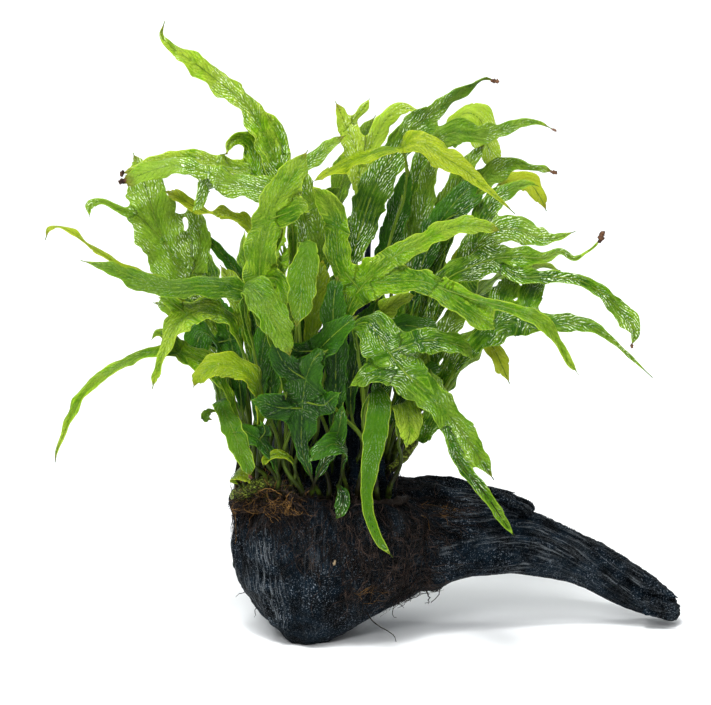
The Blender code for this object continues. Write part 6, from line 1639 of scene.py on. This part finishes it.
def tangle(form, rib, last, count, number, chance, reach=TANGLE_REACH, radius=TANGLE_RADII):
    """Short roots and scales that curl close round a rhizome, as far as its knot number last."""
    for _ in range(count // FEWER):
        knot = chance.uniform(0, last)
        ahead = rib.direction(knot)
        side = Matrix.Rotation(chance.uniform(0, 2 * math.pi), 3, ahead) @ rib.normal(knot)
        place = rib.place(knot) + side * chance.uniform(*reach)
        way = ahead * chance.uniform(-1, 1) + side.cross(ahead) * chance.uniform(-1, 1) + side * 0.5
        way.normalize()
        line = [place]
        for _ in range(chance.randint(*TANGLE_STEPS)):
            way = (way + astray(chance, TANGLE_STRAY) + Vector((0, 0, -TANGLE_PULL))).normalized()
            place = place + way * ROOT_STEP
            place.z = max(place.z, STUMP_TOP + 0.2)
            line.append(place.copy())
        add_root(form, line, chance.uniform(*radius), number)


def hang(form, start, way, length, radius, number, chance, stray):
    """A root that hangs free."""
    line, ahead = [start], Vector(way).normalized()
    for _ in range(int(length / ROOT_STEP) + 2):
        ahead = (ahead + astray(chance, stray)).normalized()
        ahead = (ahead + Vector((0, 0, -HANG_PULL))).normalized()
        line.append(line[-1] + ahead * ROOT_STEP)
    add_root(form, line, radius, number)


def front_roots(surface, chance):
    """The felt of fine roots on the wood, and the husk in it."""
    form = Form()
    for bed in ROOT_BEDS.values():
        for number in (DARK, BROWN):
            sow(form, surface, bed, bed["count"] // 2, number, chance)
    for bed in ORANGE_BEDS:
        sow(form, surface, bed, bed["count"], ORANGE, chance)
    spot, normal, *_ = surface.find_nearest(seen(*HUSK_PLACE))
    along = np.linspace(-1, 1, len(HUSK_RADII))
    line = [spot + normal * 0.3 + Vector((0.3 * t, 0, 1.1 * t)) for t in along]
    add_tube(form, line, HUSK_RADII, 8, HUSK)
    return form


def edge_roots(surface, chance):
    """The roots under the front rhizome's arch, and those round every rhizome."""
    form = Form()
    under_arch = Rib([Vector(point) for point in UNDER_ARCH])
    for number, count in enumerate(ARCH_COUNTS):
        tangle(form, under_arch, under_arch.last, count, number, chance, ARCH_REACH, ARCH_RADII)
    for points in RHIZOMES.values():
        for number in (DARK, BROWN):
            fringe(form, surface, rhizome_rib(points[:8]), number, chance)
            tangle(form, rhizome_rib(points), TANGLE_LAST, TANGLE_COUNT, number, chance)
    return form


def hanging_roots(surface, chance):
    """The aerial roots, the stubs under the wood and the long root that reaches the floor."""
    form = Form()
    climbing = rhizome_rib(RHIZOMES["rhizome_middle"])
    for _ in range(AERIAL_COUNT // FEWER):
        start = climbing.place(chance.uniform(*AERIAL_KNOTS))
        start += Vector((chance.uniform(-4, 0), chance.uniform(-9, 0), chance.uniform(-4, -1)))
        way = (chance.uniform(-0.6, 0.3), chance.uniform(-0.5, 0.5), -1)
        length, radius = chance.uniform(*AERIAL_LENGTH), chance.uniform(*AERIAL_RADII)
        hang(form, start, way, length, radius, chance.choice((DARK, BROWN)), chance, AERIAL_STRAY)
    for (x, z), way, length, radius in HANGING_STUBS:
        spot, *_ = surface.find_nearest(seen(x, z, 0.0))
        hang(form, spot, way, length, radius, DARK, chance, STUB_STRAY)
    strand = Rib([seen(*point) for point in HANGING_ROOT])
    line = [strand.place(k) for k in np.linspace(0, strand.last, HANGING_ROOT_STEPS)]
    add_tube(form, line, np.linspace(*HANGING_ROOT_RADII, len(line)), HANGING_ROOT_SIDES, DARK)
    return form


def make_roots(surface, looks):
    chance = random.Random(7)
    for name, fill, node in (("roots_over_front", front_roots, "roots_right"),
                             ("roots_over_edge", edge_roots, "roots_left"),
                             ("roots_in_air", hanging_roots, "root_hanging")):
        add_piece(name, fill(surface, chance), looks, "roots", node)


# ---------------------------------------------------------------- fronds

# How each blade grows: how uneven its outline is, how far its margin ripples, how it cups towards its upper
# side, and how its surface blisters between the veins
USUAL_MANNER = {"uneven": 1.0, "ruffle": 1.0, "cup": 0.0, "blister": 0.5}
MANNERS = {
    "tall_left": {"ruffle": 0.9, "blister": 1.0, "cup": -0.25},
    "left_arch": {"ruffle": 1.2, "cup": -0.3},
    "left_arch_upper": {"cup": 0.3},
    "left_fan": {"blister": 1.0},
    "left_strap": {"ruffle": 0.7, "cup": -0.4},
    "tall_right": {"ruffle": 1.3, "blister": 0.8},
    "right_silver": {"blister": 1.3},
    "right_wide": {"blister": 1.2},
    "right_lobed": {"blister": 0.4},
    "centre_fan": {"blister": 0.8},
    "drooping_right": {"blister": 0.9},
    "dark_strap": {"ruffle": 0.5},
    "hanging_strap": {"ruffle": 0.3, "uneven": 0.5, "blister": 0.3},
    "young_leaf": {"ruffle": 0.4, "blister": 0.2},
}

# How strongly the highlights painted into its colour show on a blade
USUAL_PAINTED_HIGHLIGHT = 0.12
PAINTED_HIGHLIGHT_SHARES = {
    "right_silver": 1.0, "right_wide": 1.0, "right_lobed": 0.7, "left_fan": 0.95, "left_arch": 0.85,
    "tall_left": 0.7, "drooping_right": 0.6, "hanging_strap": 0.15, "tall_right": 0.85, "low_dark": 0.5,
    "right_loop": 0.5, "pale_fork": 0.7, "right_curled": 0.6, "right_pointed": 0.5, "thin_top": 0.6,
    "left_arch_upper": 0.35, "right_dark": 0.5, "dark_right": 0.5,
}
# How much deeper than its colour's usual green a blade is, or paler where this is under 0: partly the
# blade's own tone, partly painted shade where it is over 0 and painted light where it is under 0
TONE_AND_PAINTED_SHADING = {
    "pale_fork": -0.4, "right_bright": -0.6, "right_loop": -0.35, "left_fan": -0.25,
    "far_left_thread": -0.2, "left_arch": -0.15, "tall_right": 0.3, "right_dark": 0.2,
    "right_pointed": 0.15, "nodding_centre": 0.75, "dark_strap": 0.3, "left_hanging": 0.8,
    "left_blunt": 0.4, "hanging_strap": 0.85, "low_fan": 0.35, "centre_fan": 0.25, "low_dark": 0.3,
    "young_leaf": 0.1, "right_lobed": 0.15, "drooping_right": 0.15, "centre_bright": 0.4,
    "left_strap": 0.4, "inner_yellow": 0.5, "olive_hanging": 0.3,
}
# Withered tips, shrunk to brown lumps: (frond, which of its ribs, length, radius)
WITHERED = [
    ("right_silver", 0, 5.0, 1.15), ("right_silver", 1, 2.0, 0.6), ("tall_right", 0, 3.5, 0.9),
    ("left_arch", 0, 3.0, 1.0), ("left_arch_upper", 0, 2.5, 0.8), ("right_curled", 0, 3.0, 0.8),
    ("right_pointed", 0, 2.5, 0.5), ("left_hanging", 0, 2.0, 0.7),
]
WITHERED_STEPS, WITHERED_SIDES = 12, 7
CRUMPLE, CRUMPLE_SIZE = 0.35, 0.5


def add_frond(form, frond, lines, manner, seed):
    strips = strips_of(frond, lines, manner, random.Random(seed))
    add_blade(form, strips, manner, seed)
    add_ribs(form, strips)
    return strips


def add_withered(form, strip, length, radius, chance):
    """A crumpled brown end on a blade's tip."""
    share = np.linspace(0, 1, WITHERED_STEPS)
    way = strip.ahead[-1] + np.array(astray(chance, 0.4))
    line = strip.line[-1] + way / np.linalg.norm(way) * length * (share - 0.55)[:, None]
    line += np.outer(np.sin(share * 7) * 0.25 * radius, strip.across[-1])
    radii = radius * np.sqrt(np.clip(1 - (2 * share - 1)**2, 0.02, 1)) * (1 + 0.25 * np.sin(share * 19))
    add_tube(form, line, radii, WITHERED_SIDES, TIP, strip.up[-1])
    skin, middles = form.points[-1], np.repeat(line, WITHERED_SIDES, axis=0)
    form.points[-1] = middles + (skin - middles) * (1 + CRUMPLE * noise_at(skin / CRUMPLE_SIZE))[:, None]


def make_fronds(blades, stalk, withered):
    lines = [rhizome_rib(points) for points in RHIZOMES.values()]
    for number, (name, frond) in enumerate(FRONDS.items()):
        # Each blade's share of painted highlights, and its depth of green, partly painted shade and painted
        # light
        form = Form(PAINTED_HIGHLIGHT_SHARES.get(name, USUAL_PAINTED_HIGHLIGHT), TONE_AND_PAINTED_SHADING.get(name, 0.0))
        strips = add_frond(form, frond, lines, {**USUAL_MANNER, **MANNERS.get(name, {})}, number)
        for owner, rib, length, radius in WITHERED:
            if owner == name:
                add_withered(form, strips[rib], length, radius, random.Random(number))
        for inner, (beside, foot, rib, *lobes) in enumerate(INNER_FRONDS):
            if beside == name:
                small = {**frond, "foot": foot, "rib": rib, "lobes": lobes, "roll": 0}
                add_frond(form, small, lines, USUAL_MANNER, len(FRONDS) + inner)
        colour = frond["colour"]
        looks = [blades[colour], stalk, withered]
        add_piece(f"java_{name}", form, looks, f"frond_{colour}", f"frond_{name}")


# ---------------------------------------------------------------- pieces and stage

# In metres, as are the places and sizes in LIGHTS
FLOOR_FRONT, FLOOR_BACK, WALL_BEND, WALL_HEIGHT, FLOOR_HALF_WIDTH = -1.6, 1.4, 0.6, 2.6, 2.6
BEND_STEPS = 12
WHITE_PAPER = (0.93, 0.95, 0.96, 1.0)
DAYLIGHT, DAYLIGHT_STRENGTH = (0.96, 0.98, 1.0, 1.0), 0.3
FERN_MIDDLE = (0.02, 0.0, 0.11)
# Area lights: name, place, what they point at, size, watts
LIGHTS = [
    ("overhead", (-0.12, -0.60, 0.92), FERN_MIDDLE, (0.40, 0.36), 11.0),
    ("glint", (-0.10, -0.52, 0.88), FERN_MIDDLE, (0.10, 0.10), 3.0),
    ("front", (-0.15, -0.85, 0.55), FERN_MIDDLE, (0.20, 0.20), 4.0),
    ("backdrop light", (0.0, 0.7, 1.5), (0.0, 1.8, 0.4), (2.2, 0.8), 30.0),
]


def add_object(name, data):
    made = bpy.data.objects.new(name, data)
    bpy.context.scene.collection.objects.link(made)
    return made


def add_piece(name, form, materials, slot, *nodes):
    """An object that stands for solids of the frame and rides with them."""
    made = add_object(name, form.mesh(name, materials))
    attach(made, "root")
    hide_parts(*nodes)


def plain_material(name, colour, roughness):
    """One colour, with the slightest clouds in it."""
    look = Shading(name)
    tone = look.noise(look.place(), 40.0)
    darker = tuple(c * 0.985 for c in colour[:3]) + (1.0,)
    return look.finish(Base_Color=look.mix(tone, colour, darker), Roughness=roughness)


def make_floor():
    """A white sweep: the floor runs back and curves up behind the fern."""
    form = bmesh.new()
    outline = [(FLOOR_FRONT, 0.0), (FLOOR_BACK, 0.0)]
    for angle in np.linspace(0, math.pi / 2, BEND_STEPS + 1)[1:].tolist():
        outline.append((FLOOR_BACK + WALL_BEND * math.sin(angle), WALL_BEND * (1 - math.cos(angle))))
    outline.append((FLOOR_BACK + WALL_BEND, WALL_HEIGHT))
    sides = (-FLOOR_HALF_WIDTH, FLOOR_HALF_WIDTH)
    left, right = ([form.verts.new((x, y, z)) for y, z in outline] for x in sides)
    for i in range(len(outline) - 1):
        form.faces.new((left[i], right[i], right[i + 1], left[i + 1]))
    mesh = bpy.data.meshes.new("floor")
    form.to_mesh(mesh)
    form.free()
    mesh.shade_smooth()
    mesh.materials.append(plain_material("white paper", WHITE_PAPER, 0.9))
    floor = add_object("floor", mesh)


def make_light():
    world = bpy.data.worlds.new("studio")
    bpy.context.scene.world = world
    world.use_nodes = True
    background = world.node_tree.nodes["Background"]
    background.inputs["Color"].default_value = DAYLIGHT
    background.inputs["Strength"].default_value = DAYLIGHT_STRENGTH
    for name, place, target, size, power in LIGHTS:
        light = bpy.data.lights.new(name, "AREA")
        light.shape = "RECTANGLE"
        light.size, light.size_y = size
        light.energy = power
        lamp = add_object(name, light)
        lamp.location = place
        lamp.rotation_euler = (Vector(target) - Vector(place)).to_track_quat("-Z", "Y").to_euler()


def make_camera():
    camera = bpy.data.cameras.new("camera")
    camera.sensor_width = 36.0
    camera.sensor_fit = "HORIZONTAL"
    camera.lens = camera.sensor_width * VIEW_DISTANCE / PICTURE_WIDTH
    viewer = add_object("camera", camera)
    viewer.location = EYE * MM
    viewer.rotation_euler = AHEAD.to_track_quat("-Z", "Y").to_euler()
    bpy.context.scene.camera = viewer
    bpy.context.scene.view_settings.view_transform = "Standard"


def write_size():
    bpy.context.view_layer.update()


def main():
    stalk = stalk_material()
    blades = {name: leaf_material(f"{name} blade", colours) for name, colours in LEAF_COLOURS.items()}
    wood = wood_material()
    surface = BVHTree.FromPolygons(*joined([make_wood(wood), *make_rhizomes(rhizome_material())]))
    make_post(wood)
    make_roots(surface, [root_material("dark root", "080605", "241a15"),
                         root_material("brown root", "120f0d", "4c3f38"),
                         root_material("orange root", "50381a", "a27a44"),
                         root_material("pale husk", "463a2a", "84745c")])
    make_fronds(blades, stalk, root_material("withered tip", "1f1410", "6a4a34"))
    make_floor()
    make_light()
    make_camera()
    write_size()


main()
